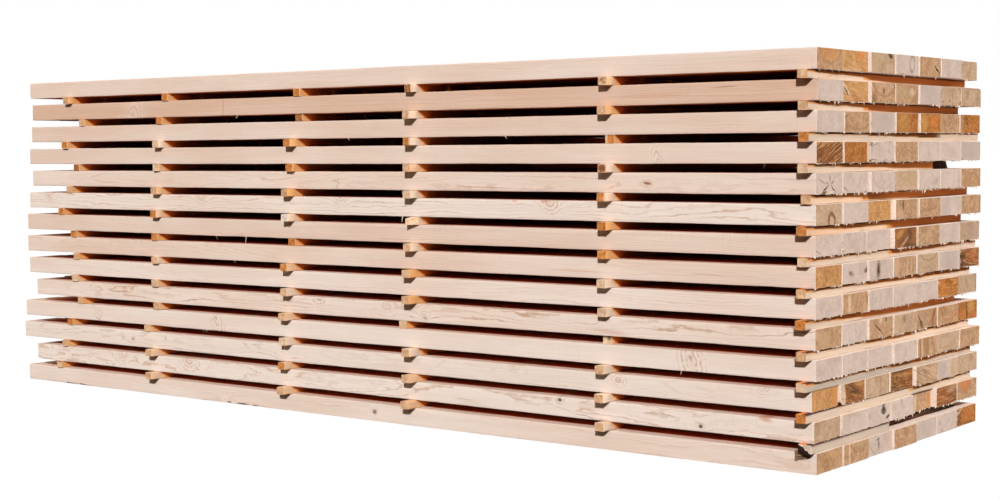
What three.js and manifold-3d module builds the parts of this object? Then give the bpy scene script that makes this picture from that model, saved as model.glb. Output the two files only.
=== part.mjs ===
// A stack of sawn softwood boards, laid up for air drying: layers of boards side by side, each
// layer parted from the next by a course of thin cross battens (stickers).
//
// Millimetres, +Z up. X runs along the boards and the squared-off end of the stack is at +X.
// The near long side is at -Y. The origin is the middle of the underside, on the floor.

import * as THREE from "three";
import { mergeVertices } from "three/addons/utils/BufferGeometryUtils.js";
import Module from "manifold-3d";

// ---------------------------------------------------------------- driving dimensions

const BOARD = { length: 2700, width: 125, thickness: 47, arris: 1.5 };
const BOARDS_PER_LAYER = 7;
const BOARD_GAP = 3;

const STICKER = { width: 25, thickness: 20, arris: 1 };

// The slots between the boards of a layer reach this far in from its top, bottom and ends.
const SLOT_DEPTH = 12;
const SLOT_REACH = 60;

const STACK_WIDTH = BOARDS_PER_LAYER * BOARD.width + (BOARDS_PER_LAYER - 1) * BOARD_GAP;
const PITCH = BOARD.thickness + STICKER.thickness;

// Each layer, top one first. endOut: how far each board stands out of the squared-off end, near
// board first. tailOut: how far the near board passes the stack's nominal length at the other end.
const LAYERS = [
  { endOut: [-1, -3, 3, 4, 5, 5, -8], tailOut: -20 },
  { endOut: [0, -2, 4, 4, 7, 4, 3], tailOut: -30 },
  { endOut: [0, 1, 4, 6, 9, 0, 1], tailOut: -24 },
  { endOut: [-1, 1, 2, 4, 4, 3, 3], tailOut: -12 },
  { endOut: [-2, -2, 5, 3, 6, 5, 4], tailOut: -24 },
  { endOut: [-2, 0, -3, 6, 8, 5, 5], tailOut: -7 },
  { endOut: [-3, -4, -5, 4, 5, 3, 2], tailOut: 5 },
  { endOut: [-2, -2, 1, 2, 3, 3, 2], tailOut: 7 },
  { endOut: [-2, 0, 2, 2, 1, 0, -4], tailOut: 1 },
  { endOut: [-2, -2, 2, 4, 0, 1, -2], tailOut: -34 },
  { endOut: [0, -1, 0, 5, 6, 4, 5], tailOut: 23 },
  { endOut: [-10, -5, -6, -5, 3, 1, -1], tailOut: 30 },
  { endOut: [-4, -1, -2, -2, -15, -1, -1], tailOut: -30 },
  { endOut: [2, 4, 1, 6, 1, 0, -3], tailOut: 14 },
].reverse();

// Each course of stickers, top one first, counted from the tail end to the squared-off end.
// inset: the middle of each near end, from the squared-off end. out: how far each near end stands
// out of the near side. last: the last sticker lies just inside the board ends. Its far end stops
// this far short of the far side, and this much deeper in than its near end.
const COURSES = [
  { inset: [2488, 2058, 1534, 1127, 533, 20], out: [17, 4.5, 4, 19, 25, 28], last: [28, 21] },
  { inset: [2430, 2085, 1530, 1126, 535, 19], out: [5, 4, 0, 30, 27, 26], last: [64, 24] },
  { inset: [2509, 2083, 1551, 1125, 530, 18], out: [9, 21, 27, 30, 0, 26], last: [4, -3] },
  { inset: [2461, 2098, 1557, 1127, 532, 20], out: [3, 8, 13, 30, 30, 25], last: [118, 10] },
  { inset: [2497, 2094, 1563, 1128, 534, 22], out: [4, 21, 26, 30, 30, 7], last: [15, 16] },
  { inset: [2540, 2097, 1562, 1122, 535, 22], out: [2, 21.5, 28, 28, 28, 26], last: [58, 14] },
  { inset: [2482, 2115, 1563, 1128, 540, 25], out: [3, 4, 0, 30, 20, 16], last: [3, -6] },
  { inset: [2471, 2108, 1568, 1134, 537, 22], out: [3, 11, 28, 30, 28, 27], last: [33, 0] },
  { inset: [2480, 2114, 1569, 1132, 538, 22], out: [4, 7.5, 28, 33.5, 23, 30], last: [85, 18] },
  { inset: [2455, 2111, 1578, 1170, 545, 20], out: [3, 4, 28, 0, -10, 30], last: [40, 1] },
  { inset: [2506, 2154, 1577, 1133, 541, 20], out: [3.5, 3.5, 28, 34, 30, 30], last: [27, 1] },
  { inset: [2531, 2120, 1584, 1135, 542, 20], out: [5, 29, 26, 33, 31, 30], last: [26, 1] },
  { inset: [2560, 2119, 1585, 1139, 542, 18], out: [5, 32, 31, 34, 30, 17], last: [84, 3] },
].reverse();

// Stickers that run right through to the far side, and how far each leans to the squared-off
// end on the way. Columns are counted from 0 at the tail end.
const THROUGH = [
  { course: 11, column: 4, lean: 23 },
  { course: 10, column: 4, lean: 24 },
];

// A near end sawn off at an angle: how far it is cut back across its width, and down its height.
const MITRED = { course: 8, column: 3, back: 24, down: 4.5 };

// Courses whose last sticker is in two lengths: where the near length stops, from the near side,
// how much deeper in the far length lies, and how far the sawn slope of its far end runs back.
const JOINED = { 1: { at: 370, deeperIn: 20, slope: 0 }, 10: { at: 642, deeperIn: 26, slope: 14 } };
const JOIN_GAP = 5;

// Stickers that are nodes of their own. The others are one solid with the layer that carries them.
const LOOSE_STICKERS = { 0: "tail", 2: "middle", 5: "end" };

// The near length of the lowest course's last sticker is an offcut from the outside of a log. The
// round of the log takes nearly half of its section away, and its near end is snapped.
const OFFCUT = { course: 1, width: 35, barkAcross: 31, barkUp: 17, breakDepth: 6 };

// Bark edges (wane): the corner of the board that the log was too round to fill. toEnd says
// which end of the board it is widest at, and it runs out over its length.
const WANES = [
  { layer: 13, board: 7, side: 1, face: 1, across: 16, down: 8, run: 1500, toEnd: 1 },
  { layer: 11, board: 3, side: -1, face: 1, across: 15, down: 8, run: 900, toEnd: 1 },
  { layer: 11, board: 3, side: -1, face: -1, across: 12, down: 7, run: 700, toEnd: 1 },
  { layer: 8, board: 2, side: 1, face: 1, across: 14, down: 16, run: 800, toEnd: 1 },
  { layer: 1, board: 1, side: -1, face: -1, across: 10, down: 7, run: 2200, toEnd: -1 },
  { layer: 3, board: 2, side: -1, face: -1, across: 12, down: 10, run: 600, toEnd: 1 },
  { layer: 6, board: 7, side: 1, face: 1, across: 18, down: 12, run: 1900, toEnd: -1 },
];

// Open drying splits (checks) in the squared-off end: where on the board's end, how long, how
// wide at the middle, and how far the top of the split leans from upright towards the near side.
const CHECKS = [
  { layer: 14, board: 5, across: 40, up: -5, height: 44, gape: 5, lean: 63 },
  { layer: 13, board: 2, across: -47, up: -1, height: 32, gape: 4, lean: 51 },
  { layer: 10, board: 1, across: 4, up: 10, height: 20, gape: 3, lean: 0 },
  { layer: 10, board: 1, across: -18, up: -12, height: 40, gape: 4, lean: -61 },
  { layer: 10, board: 1, across: 20, up: -12, height: 31, gape: 3, lean: 53 },
  { layer: 9, board: 4, across: -22, up: 9, height: 24, gape: 5, lean: -5 },
  { layer: 7, board: 3, across: -13, up: 0, height: 34, gape: 8, lean: 0 },
  { layer: 5, board: 3, across: -15, up: 0, height: 60, gape: 3, lean: 60 },
  { layer: 5, board: 5, across: -39, up: 0, height: 42, gape: 4, lean: 36 },
  { layer: 5, board: 5, across: 41, up: 3, height: 36, gape: 5, lean: -36 },
  { layer: 2, board: 3, across: 25, up: 7, height: 22, gape: 9, lean: 0 },
  { layer: 2, board: 3, across: 47, up: -10, height: 16, gape: 4, lean: -70 },
  { layer: 1, board: 3, across: -7, up: 0, height: 26, gape: 3, lean: 4 },
];
const CHECK_DEPTH = 18;

const WOOD = { roughness: 0.75, metalness: 0 };
const BOARD_COLOUR = 0xe6c8a4;
const STICKER_COLOUR = 0xd9ae7c;

// ---------------------------------------------------------------- solids

const wasm = await Module();
wasm.setup();

/** A closed three.js geometry as a manifold-3d solid. */
function solidOf(geometry) {
  const bare = geometry.clone();
  bare.deleteAttribute("normal");
  bare.deleteAttribute("uv");
  const merged = mergeVertices(bare, 1e-4);
  return new wasm.Manifold(
    new wasm.Mesh({
      numProp: 3,
      vertProperties: new Float32Array(merged.attributes.position.array),
      triVerts: new Uint32Array(merged.index.array),
    }),
  );
}

/** A manifold-3d solid as a three.js geometry. */
function geometryOf(solid) {
  const mesh = solid.getMesh();
  const positions = new Float32Array(mesh.numVert * 3);
  for (let i = 0; i < mesh.numVert; i++) {
    positions.set(mesh.vertProperties.subarray(i * mesh.numProp, i * mesh.numProp + 3), i * 3);
  }
  const geometry = new THREE.BufferGeometry();
  geometry.setAttribute("position", new THREE.BufferAttribute(positions, 3));
  geometry.setIndex(new THREE.BufferAttribute(new Uint32Array(mesh.triVerts), 1));
  geometry.computeVertexNormals();
  return geometry;
}

/** A section drawn in (y, z), swept along X from startX over the given length. */
function sweptAlongX(section, startX, length) {
  const settings = { depth: length, bevelEnabled: false, curveSegments: 4 };
  const geometry = new THREE.ExtrudeGeometry(section, settings);
  const axes = new THREE.Matrix4().makeBasis(
    new THREE.Vector3(0, 1, 0),
    new THREE.Vector3(0, 0, 1),
    new THREE.Vector3(1, 0, 0),
  );
  return geometry.applyMatrix4(axes).translate(startX, 0, 0);
}

/** A rectangle centred on the origin, with its four corners cut at 45 degrees. */
function easedSection(width, height, arris) {
  const w = width / 2;
  const h = height / 2;
  return new THREE.Shape([
    new THREE.Vector2(-w + arris, -h),
    new THREE.Vector2(w - arris, -h),
    new THREE.Vector2(w, -h + arris),
    new THREE.Vector2(w, h - arris),
    new THREE.Vector2(w - arris, h),
    new THREE.Vector2(-w + arris, h),
    new THREE.Vector2(-w, h - arris),
    new THREE.Vector2(-w, -h + arris),
  ]);
}

// ---------------------------------------------------------------- boards

/** The middle of a board across the stack. Board 1 is the near one. */
function boardY(board) {
  return (board - 1) * (BOARD.width + BOARD_GAP) - STACK_WIDTH / 2 + BOARD.width / 2;
}

/** The underside of a layer. Layer 1 is the lowest. */
function layerZ(layer) {
  return (layer - 1) * PITCH;
}

/** Where a board ends at the squared-off end of the stack. */
function endX(layer, board) {
  return BOARD.length / 2 + LAYERS[layer - 1].endOut[board - 1];
}

/** Where a board ends at the tail. The near board is known, and the ones behind it are as uneven. */
function tailX(layer, board) {
  const uneven = 16 * Math.sin(2.3 * layer + 1.7 * board) * Math.min(1, board - 1);
  return -BOARD.length / 2 - Math.round(LAYERS[layer - 1].tailOut * (board === 1 ? 1 : 0.4) + uneven);
}

/** The wedge that a round log leaves out of one long corner of a board. */
function waneCut({ layer, board, side, face, across, down, run, toEnd }) {
  const clear = 6; // the wedge reaches this far outside the board
  const roundness = 0.22; // how far the log's surface bulges towards the corner
  const corner = new THREE.Shape();
  corner.moveTo(side * clear, face * clear);
  corner.lineTo(-side * across, face * clear);
  corner.lineTo(-side * across, 0);
  corner.quadraticCurveTo(-side * across * roundness, -face * down * roundness, 0, -face * down);
  corner.lineTo(side * clear, -face * down);
  corner.closePath();

  const start = toEnd > 0 ? endX(layer, board) - run : tailX(layer, board) - clear;
  const wedge = sweptAlongX(corner, start, run + clear);
  // It slides out of the corner along its length, so the wane narrows and runs out.
  const position = wedge.attributes.position;
  for (let i = 0; i < position.count; i++) {
    const along = (position.getX(i) - start) / (run + clear);
    const away = toEnd > 0 ? 1 - along : along;
    position.setY(i, position.getY(i) + side * away * across);
    position.setZ(i, position.getZ(i) + face * away * down);
  }
  const y = boardY(board) + (side * BOARD.width) / 2;
  const z = layerZ(layer) + BOARD.thickness / 2 + (face * BOARD.thickness) / 2;
  return solidOf(wedge.translate(0, y, z));
}

/** A drying split: a thin lens-shaped notch in the end of a board. */
function checkCut({ layer, board, across, up, height, gape, lean }) {
  const lens = new THREE.Shape([
    new THREE.Vector2(0, -height / 2),
    new THREE.Vector2(gape / 2, 0),
    new THREE.Vector2(0, height / 2),
    new THREE.Vector2(-gape / 2, 0),
  ]);
  const notch = sweptAlongX(lens, -CHECK_DEPTH, CHECK_DEPTH + 5).rotateX(THREE.MathUtils.degToRad(lean));
  const y = boardY(board) + across;
  const z = layerZ(layer) + BOARD.thickness / 2 + up;
  return solidOf(notch.translate(endX(layer, board), y, z));
}

function boardSolid(layer, board) {
  const from = tailX(layer, board);
  const length = endX(layer, board) - from;
  const section = easedSection(BOARD.width, BOARD.thickness, BOARD.arris);
  const z = layerZ(layer) + BOARD.thickness / 2;
  let solid = solidOf(sweptAlongX(section, from, length).translate(0, boardY(board), z));
  const isHere = (feature) => feature.layer === layer && feature.board === board;
  for (const wane of WANES.filter(isHere)) solid = solid.subtract(waneCut(wane));
  for (const check of CHECKS.filter(isHere)) solid = solid.subtract(checkCut(check));
  return solid;
}

/** What lies unseen between the boards of a layer, inside the slots. */
function layerCore(layer) {
  const length = BOARD.length - 2 * SLOT_REACH;
  const width = STACK_WIDTH - BOARD.width;
  const core = new THREE.BoxGeometry(length, width, BOARD.thickness - 2 * SLOT_DEPTH);
  return solidOf(core.translate(0, 0, layerZ(layer) + BOARD.thickness / 2));
}

// ---------------------------------------------------------------- stickers

/** How far an unseen far end of a sticker stops before the far side of the stack. */
function farShort(course, column) {
  return 12 + Math.round(34 * (1 + Math.sin(1.9 * course + 2.7 * column)));
}

/** Where a sticker's ends are, from the near side of the stack, and its drift to the tail. */
function span(course, column) {
  const { inset, out, last } = COURSES[course - 1];
  const nearY = -out[column];
  const through = THROUGH.find((entry) => entry.course === course && entry.column === column);
  if (through) return { nearY, farY: STACK_WIDTH, drift: -through.lean };
  if (column === inset.length - 1) return { nearY, farY: STACK_WIDTH - last[0], drift: last[1] };
  const drift = Math.round(9 * Math.sin(3.1 * course + 1.3 * column));
  return { nearY, farY: STACK_WIDTH - farShort(course, column), drift };
}

/** A section swept away from the origin across the stack, drifting to the tail as it goes. */
function sweptAcross(section, length, drift) {
  return solidOf(sweptAlongX(section, 0, length).rotateZ(Math.PI / 2 + Math.asin(drift / length)));
}

/** What is left of a solid on the side of a plane that its normal points to. */
function trimmed(solid, point, normal) {
  const unit = new THREE.Vector3(...normal).normalize();
  return solid.trimByPlane(unit.toArray(), unit.dot(new THREE.Vector3(...point)));
}

/** A length of sticker, drawn from its near end at the origin, set in its place on its course. */
function onCourse(solid, course, inset, nearY) {
  const z = layerZ(course) + BOARD.thickness + STICKER.thickness / 2;
  return solid.translate([BOARD.length / 2 - inset, nearY - STACK_WIDTH / 2, z]);
}

function batten(length, drift) {
  return sweptAcross(easedSection(STICKER.width, STICKER.thickness, STICKER.arris), length, drift);
}

/** The near end sawn off at an angle: back across its width, and down over the tip. */
function mitred(solid) {
  const { back, down } = MITRED;
  const w = STICKER.width / 2;
  const top = STICKER.thickness / 2;
  const sawn = trimmed(solid, [-w, 0, 0], [-back, 2 * w, 0]);
  return trimmed(sawn, [0, back, top], [0, down, -back]);
}

function sticker(course, column) {
  const { nearY, farY, drift } = span(course, column);
  const isMitred = course === MITRED.course && column === MITRED.column;
  const whole = batten(farY - nearY, drift);
  return onCourse(isMitred ? mitred(whole) : whole, course, COURSES[course - 1].inset[column], nearY);
}

/** The offcut: the round of the log is its lower corner on the tail side. */
function offcut(length) {
  const { width, barkAcross, barkUp, breakDepth } = OFFCUT;
  const w = width / 2;
  const h = STICKER.thickness / 2;
  const section = new THREE.Shape();
  section.moveTo(-w, -h);
  section.lineTo(w - barkAcross, -h);
  section.quadraticCurveTo(w - 0.4 * barkAcross, -h + 0.35 * barkUp, w, -h + barkUp);
  section.lineTo(w, h);
  section.lineTo(-w, h);
  section.closePath();

  // The break runs back from the sound corner in three uneven splinters.
  const snapped = new THREE.Shape();
  snapped.moveTo(-w - 1, -1);
  snapped.lineTo(-w - 1, breakDepth);
  snapped.lineTo(-0.5 * w, 0.55 * breakDepth);
  snapped.lineTo(-0.4 * w, 0.8 * breakDepth);
  snapped.lineTo(0.1 * w, 0.25 * breakDepth);
  snapped.lineTo(0.2 * w, 0.45 * breakDepth);
  snapped.lineTo(w + 1, -1);
  snapped.closePath();
  const depth = STICKER.thickness + 2;
  const broken = new THREE.ExtrudeGeometry(snapped, { depth, bevelEnabled: false });
  return sweptAcross(section, length, 0).subtract(solidOf(broken.translate(0, 0, -depth / 2)));
}

/** The two lengths of a joined sticker, near one first. */
function joined(course, column) {
  const { at, deeperIn, slope } = JOINED[course];
  const { nearY, farY, drift } = span(course, column);
  const inset = COURSES[course - 1].inset[column];
  const nearDrift = (drift * (at - nearY)) / (farY - nearY);
  const near = course === OFFCUT.course ? offcut(at - nearY) : batten(at - nearY, nearDrift);
  const farLength = farY - at - JOIN_GAP;
  const low = -STICKER.thickness / 2;
  const far = trimmed(batten(farLength, 0), [0, farLength, low], [0, 2 * low, -slope]);
  return [
    onCourse(near, course, inset, nearY),
    onCourse(far, course, inset + deeperIn, at + JOIN_GAP),
  ];
}

// ---------------------------------------------------------------- the stack

const stack = new THREE.Group();

function addPiece(name, solid, colour) {
  const material = new THREE.MeshStandardMaterial({ color: colour, ...WOOD });
  const mesh = new THREE.Mesh(geometryOf(solid), material);
  mesh.name = name;
  stack.add(mesh);
}

const twoDigits = (number) => String(number).padStart(2, "0");

function addSticker(course, column) {
  const name = `sticker_${twoDigits(course)}_${LOOSE_STICKERS[column]}`;
  if (course in JOINED && LOOSE_STICKERS[column] === "end") {
    const [near, far] = joined(course, column);
    addPiece(`${name}_near`, near, STICKER_COLOUR);
    addPiece(`${name}_far`, far, STICKER_COLOUR);
  } else {
    addPiece(name, sticker(course, column), STICKER_COLOUR);
  }
}

for (let layer = 1; layer <= LAYERS.length; layer++) {
  let solid = layerCore(layer);
  for (let board = 1; board <= BOARDS_PER_LAYER; board++) solid = solid.add(boardSolid(layer, board));
  if (layer <= COURSES.length) {
    for (let column = 0; column < COURSES[layer - 1].inset.length; column++) {
      if (column in LOOSE_STICKERS) addSticker(layer, column);
      else solid = solid.add(sticker(layer, column));
    }
  }
  addPiece(`board_layer_${twoDigits(layer)}`, solid, BOARD_COLOUR);
}

export default stack;
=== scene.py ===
"""A stack of sawn softwood boards, laid up for air drying: its boards, battens and finishes.

Metres, +Z up. X runs along the boards and the squared-off end of the stack is at +X. The near
long side is at -Y. Layer 1 is the lowest, board 1 of a layer is the near one, and course 1 of
the battens lies on layer 1. Marks and knots are given in millimetres.
"""

import logging
import math
from collections.abc import Iterable
from dataclasses import dataclass, field
from enum import Enum
from functools import reduce
from typing import Any

import bpy
import numpy as np
from mathutils import Matrix, Vector
from mathutils.geometry import delaunay_2d_cdt


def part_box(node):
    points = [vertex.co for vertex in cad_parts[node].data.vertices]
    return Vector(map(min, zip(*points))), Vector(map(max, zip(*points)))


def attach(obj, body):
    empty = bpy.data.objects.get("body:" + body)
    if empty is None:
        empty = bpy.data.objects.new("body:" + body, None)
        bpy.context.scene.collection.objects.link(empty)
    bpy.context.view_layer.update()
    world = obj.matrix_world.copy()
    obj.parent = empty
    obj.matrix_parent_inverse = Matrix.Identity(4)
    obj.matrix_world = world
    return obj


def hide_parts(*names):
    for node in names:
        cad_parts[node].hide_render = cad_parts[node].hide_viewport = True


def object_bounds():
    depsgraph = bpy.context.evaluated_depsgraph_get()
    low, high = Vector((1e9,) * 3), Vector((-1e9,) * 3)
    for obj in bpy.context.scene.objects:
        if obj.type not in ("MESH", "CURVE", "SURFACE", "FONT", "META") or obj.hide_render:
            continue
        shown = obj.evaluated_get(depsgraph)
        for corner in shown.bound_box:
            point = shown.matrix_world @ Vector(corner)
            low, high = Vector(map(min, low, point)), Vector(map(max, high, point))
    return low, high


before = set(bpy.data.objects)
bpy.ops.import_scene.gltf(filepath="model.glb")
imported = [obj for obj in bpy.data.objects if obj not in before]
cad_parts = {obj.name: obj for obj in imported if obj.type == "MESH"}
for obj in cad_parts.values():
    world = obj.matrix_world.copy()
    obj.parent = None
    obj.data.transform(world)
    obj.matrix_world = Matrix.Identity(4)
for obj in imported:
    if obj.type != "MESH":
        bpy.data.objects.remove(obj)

LOG = logging.getLogger("lumber_stack")
MM = 0.001
FRAME_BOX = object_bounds()

BOARDS_PER_LAYER = 7
LAYERS = 14
LAST = 5  # the column of a course's last batten
INNER = 6  # the column of that batten's inner length, where it is in two lengths
BOARD_GAP = 3 * MM

KNOTS = tuple(f"knot_{slot}" for slot in range(1, 5))  # attributes of a piece's branches
MARK_SLOTS = {"end_mark": 6, "face_mark": 4}  # how many marks a piece can carry, by kind
RELIEF = 0.6 * MM  # how deep the relief of sawn wood is
SHARP_EDGE = 28.0  # degrees between two facets that shade as one surface
KNOT_LEAN = 0.3  # how far a branch leans up the trunk for each metre from the pith

Array = np.ndarray
Socket = bpy.types.NodeSocket
Outputs = bpy.types.NodeOutputs
Value = Any  # a socket, a number or a tuple of numbers
Triple = tuple[float, float, float]
Colour = tuple[float, float, float, float]
Part = tuple[Array, Array, Array]  # points, triangles and surfaces
Painted = tuple[Socket, Socket, Socket, float]  # colour, roughness, relief and its depth


# ---------------------------------------------------------------- what each piece is like


class EndTone(Enum):
    """The wood that a sawn end shows; the value is its letter in the plans below."""

    PALE = "P"
    BEIGE = "B"
    TAN = "T"
    AMBER = "A"
    ORANGE = "O"
    BROWN = "W"


class SideTone(Enum):
    """The wood of a batten's long sides; the value is its letter in the plans below."""

    GREY = "G"
    CREAM = "C"
    TAN = "T"
    ORANGE = "O"
    # painted shade: a batten that lies wholly in shade
    DARK = "D"

    @property
    def warmth(self) -> float:
        """Where the tone lies from grey, below 0, through cream, 0, to orange, 1."""
        return {"G": -0.03, "C": 0.0, "T": 0.45, "O": 0.95, "D": 1.0}[self.value]


class Surface(Enum):
    """What a face of a piece is; the value is its material's place in the piece's list."""

    FACE = 0
    WANE = 1
    SPLIT = 2
    TORN = 3
    BARK = 4
    END_PALE = 5
    END_BEIGE = 6
    END_TAN = 7
    END_AMBER = 8
    END_ORANGE = 9
    END_BROWN = 10

    @staticmethod
    def of_end(tone: EndTone) -> "Surface":
        """Returns the sawn end surface of a tone."""
        return Surface["END_" + tone.name]


@dataclass(frozen=True)
class LayerPlan:
    """What is known of a layer: the tone letter of each board's end, near board first; how tan
    the near board's long face is, from 0 for pinkish white to 1; how strongly its grain shows;
    and how ragged the saw left the lower edges of the ends.
    """

    ends: str
    warmth: float
    figure: float
    torn: float


# A row for each LayerPlan, the top layer's first.
LAYER_PLANS = (
    ("TABPTPB", 0.37, 0.20, 0.3),
    ("PATTPBB", 0.95, 0.95, 0.9),
    ("PTPOOTO", 0.41, 0.45, 0.5),
    ("WOPTPPP", 0.39, 0.30, 0.9),
    ("PPPBPPT", 0.35, 0.45, 1.2),
    ("BPATTPT", 0.0, 0.55, 0.4),
    ("PPPWTPB", 0.50, 0.55, 1.3),
    ("APPTBPW", 0.44, 0.35, 0.8),
    ("PTPPPOB", 0.13, 0.30, 1.0),
    ("TPTBTTO", 0.24, 0.85, 0.9),
    ("PPPPTBT", 0.13, 0.25, 1.1),
    ("AWBWTPB", -0.02, 0.55, 0.5),
    ("BPPPTWT", 0.0, 0.95, 1.2),
    ("TTPTPPO", 0.2, 0.35, 0.2),
)


@dataclass(frozen=True)
class CoursePlan:
    """The tone letters of a course's battens from the tail: their near ends and their sides."""

    ends: str
    sides: str


# A row for each CoursePlan, the top course's first.
COURSE_PLANS = (
    ("TOOWTT", "OOOCTC"),
    ("TOWTTT", "OOOCOC"),
    ("OBOOOO", "OCOCOC"),
    ("WBOTWB", "OTOTCC"),
    ("TTTBOT", "OTOCCT"),
    ("OOPBOO", "OTCCOT"),
    ("OOOTOB", "OOOCOC"),
    ("TTOBBT", "OCTOCC"),
    ("BBTTBO", "TTCOCC"),
    ("TTTBBT", "OTTOTC"),
    ("OTBTTB", "OTCCCG"),
    ("TTOTTO", "OTTTCC"),
    ("BTTTTT", "OTTTCG"),
)

MITRED = (8, 3)  # the course and column of the batten that is cut to a point


@dataclass(frozen=True)
class EndFigure:
    """How a board lies in its log, and how its squared-off end took the saw.

    across and up are the heart of the log, in millimetres from the middle of the board's
    section. drag is how strongly the saw's drag shows as pale and dark lines, angle their lean.
    """

    across: float
    up: float
    drag: float = 0.0
    angle: float = 0.0


# By layer and board, a row for an EndFigure.
END_FIGURES = {
    (14, 1): (0, 46), (14, 2): (-60, 60, 0.7, -14), (14, 4): (27, 3),
    (13, 2): (50, 70, 0.7, -12), (13, 3): (6, 30), (12, 2): (-24, -8, 0.2),
    (12, 4): (-20, 60, 0.35, 60), (12, 5): (-40, 4, 0.7, 8),
    (12, 7): (-70, 60, 0.8, -16), (11, 1): (-90, 60, 1.5, 23),
    (11, 2): (-160, 10, 0.3, 20), (11, 4): (5, -34, 0.2), (10, 1): (2, -6),
    (10, 3): (6, 62), (10, 7): (8, -48), (9, 1): (90, 70, 0.35, -28),
    (9, 3): (-9, -2, 0.2), (8, 4): (20, 60, 0.5, 30),
    (7, 1): (-110, 20, 0.25, 90), (7, 4): (170, 10, 0.25, 90), (7, 5): (5, 48),
    (7, 7): (-70, -60, 1.2, -6), (6, 2): (-140, 10, 0.2, 90),
    (6, 6): (60, 90, 1.1, 4), (5, 1): (-130, 14), (5, 6): (5, 60),
    (5, 7): (10, 60, 0.4, -20), (4, 5): (-170, 0, 0.5, 90),
    (3, 1): (-140, 10, 0.4, 90), (3, 2): (10, 40, 0.7, -20),
    (3, 4): (-26, 6, 0.8, -4), (3, 5): (80, 80, 0.9, -22), (2, 1): (130, 8),
    (2, 6): (-10, 160, 1.2, 2), (1, 1): (-17, -10), (1, 2): (12, 34),
    (1, 7): (70, 60, 0.7, -30),
}


@dataclass(frozen=True)
class Split:
    """A drying split in a board's squared-off end, in millimetres and in degrees from upright."""

    across: float
    up: float
    height: float
    gape: float
    lean: float = 0.0
    depth: float = 18.0


# By layer and board, a row for each Split.
SPLITS = {
    (14, 5): [(40, -5, 44, 5, 63)], (13, 2): [(-47, -1, 32, 4, 51)],
    (10, 1): [(4, 10, 20, 3), (-18, -12, 40, 4, -61), (20, -12, 31, 3, 53)],
    (9, 4): [(-22, 9, 24, 5, -5)], (7, 3): [(-13, 0, 34, 8)], (5, 3): [(-15, 0, 60, 3, 60)],
    (5, 5): [(-39, 0, 42, 4, 36), (41, 3, 36, 5, -36)], (2, 3): [(25, 7, 22, 9), (47, -10, 16, 4, -70)],
    (1, 3): [(-7, 0, 26, 3, 4)],
}


class Tint(Enum):
    """The colours that knots, stains and dragged fibre leave on the wood."""

    HOLE = (0.035, 0.016, 0.006)
    DARK = (0.075, 0.036, 0.014)
    OLIVE = (0.13, 0.08, 0.028)
    UMBER = (0.24, 0.09, 0.03)
    BROWN = (0.38, 0.16, 0.06)
    GREY = (0.33, 0.23, 0.17)
    ASH = (0.54, 0.43, 0.37)
    RUST = (0.57, 0.19, 0.06)
    AMBER = (0.67, 0.30, 0.085)
    ORANGE = (0.82, 0.27, 0.06)
    HONEY = (0.65, 0.37, 0.11)
    SAND = (0.60, 0.42, 0.23)
    PINK = (0.76, 0.48, 0.33)
    CREAM = (0.90, 0.68, 0.48)


HOLE, DARK, OLIVE, UMBER, BROWN, GREY, ASH, RUST, AMBER, ORANGE, HONEY, SAND, PINK, CREAM = Tint


@dataclass(frozen=True)
class Mark:
    """A knot, stain, line or patch, in millimetres, per cent and degrees.

    On a sawn end, across runs away from the near side; on a near face it is the distance from
    the squared-off end. wide and high are the mark's size before it leans. share is how much of
    the wood's colour it takes, soft how blurred its edge is. line makes it an outline so thick.
    """

    across: float
    up: float
    wide: float
    high: float
    tint: Tint
    share: float = 50
    soft: float = 60
    lean: float = 0
    line: float = 0


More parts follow.
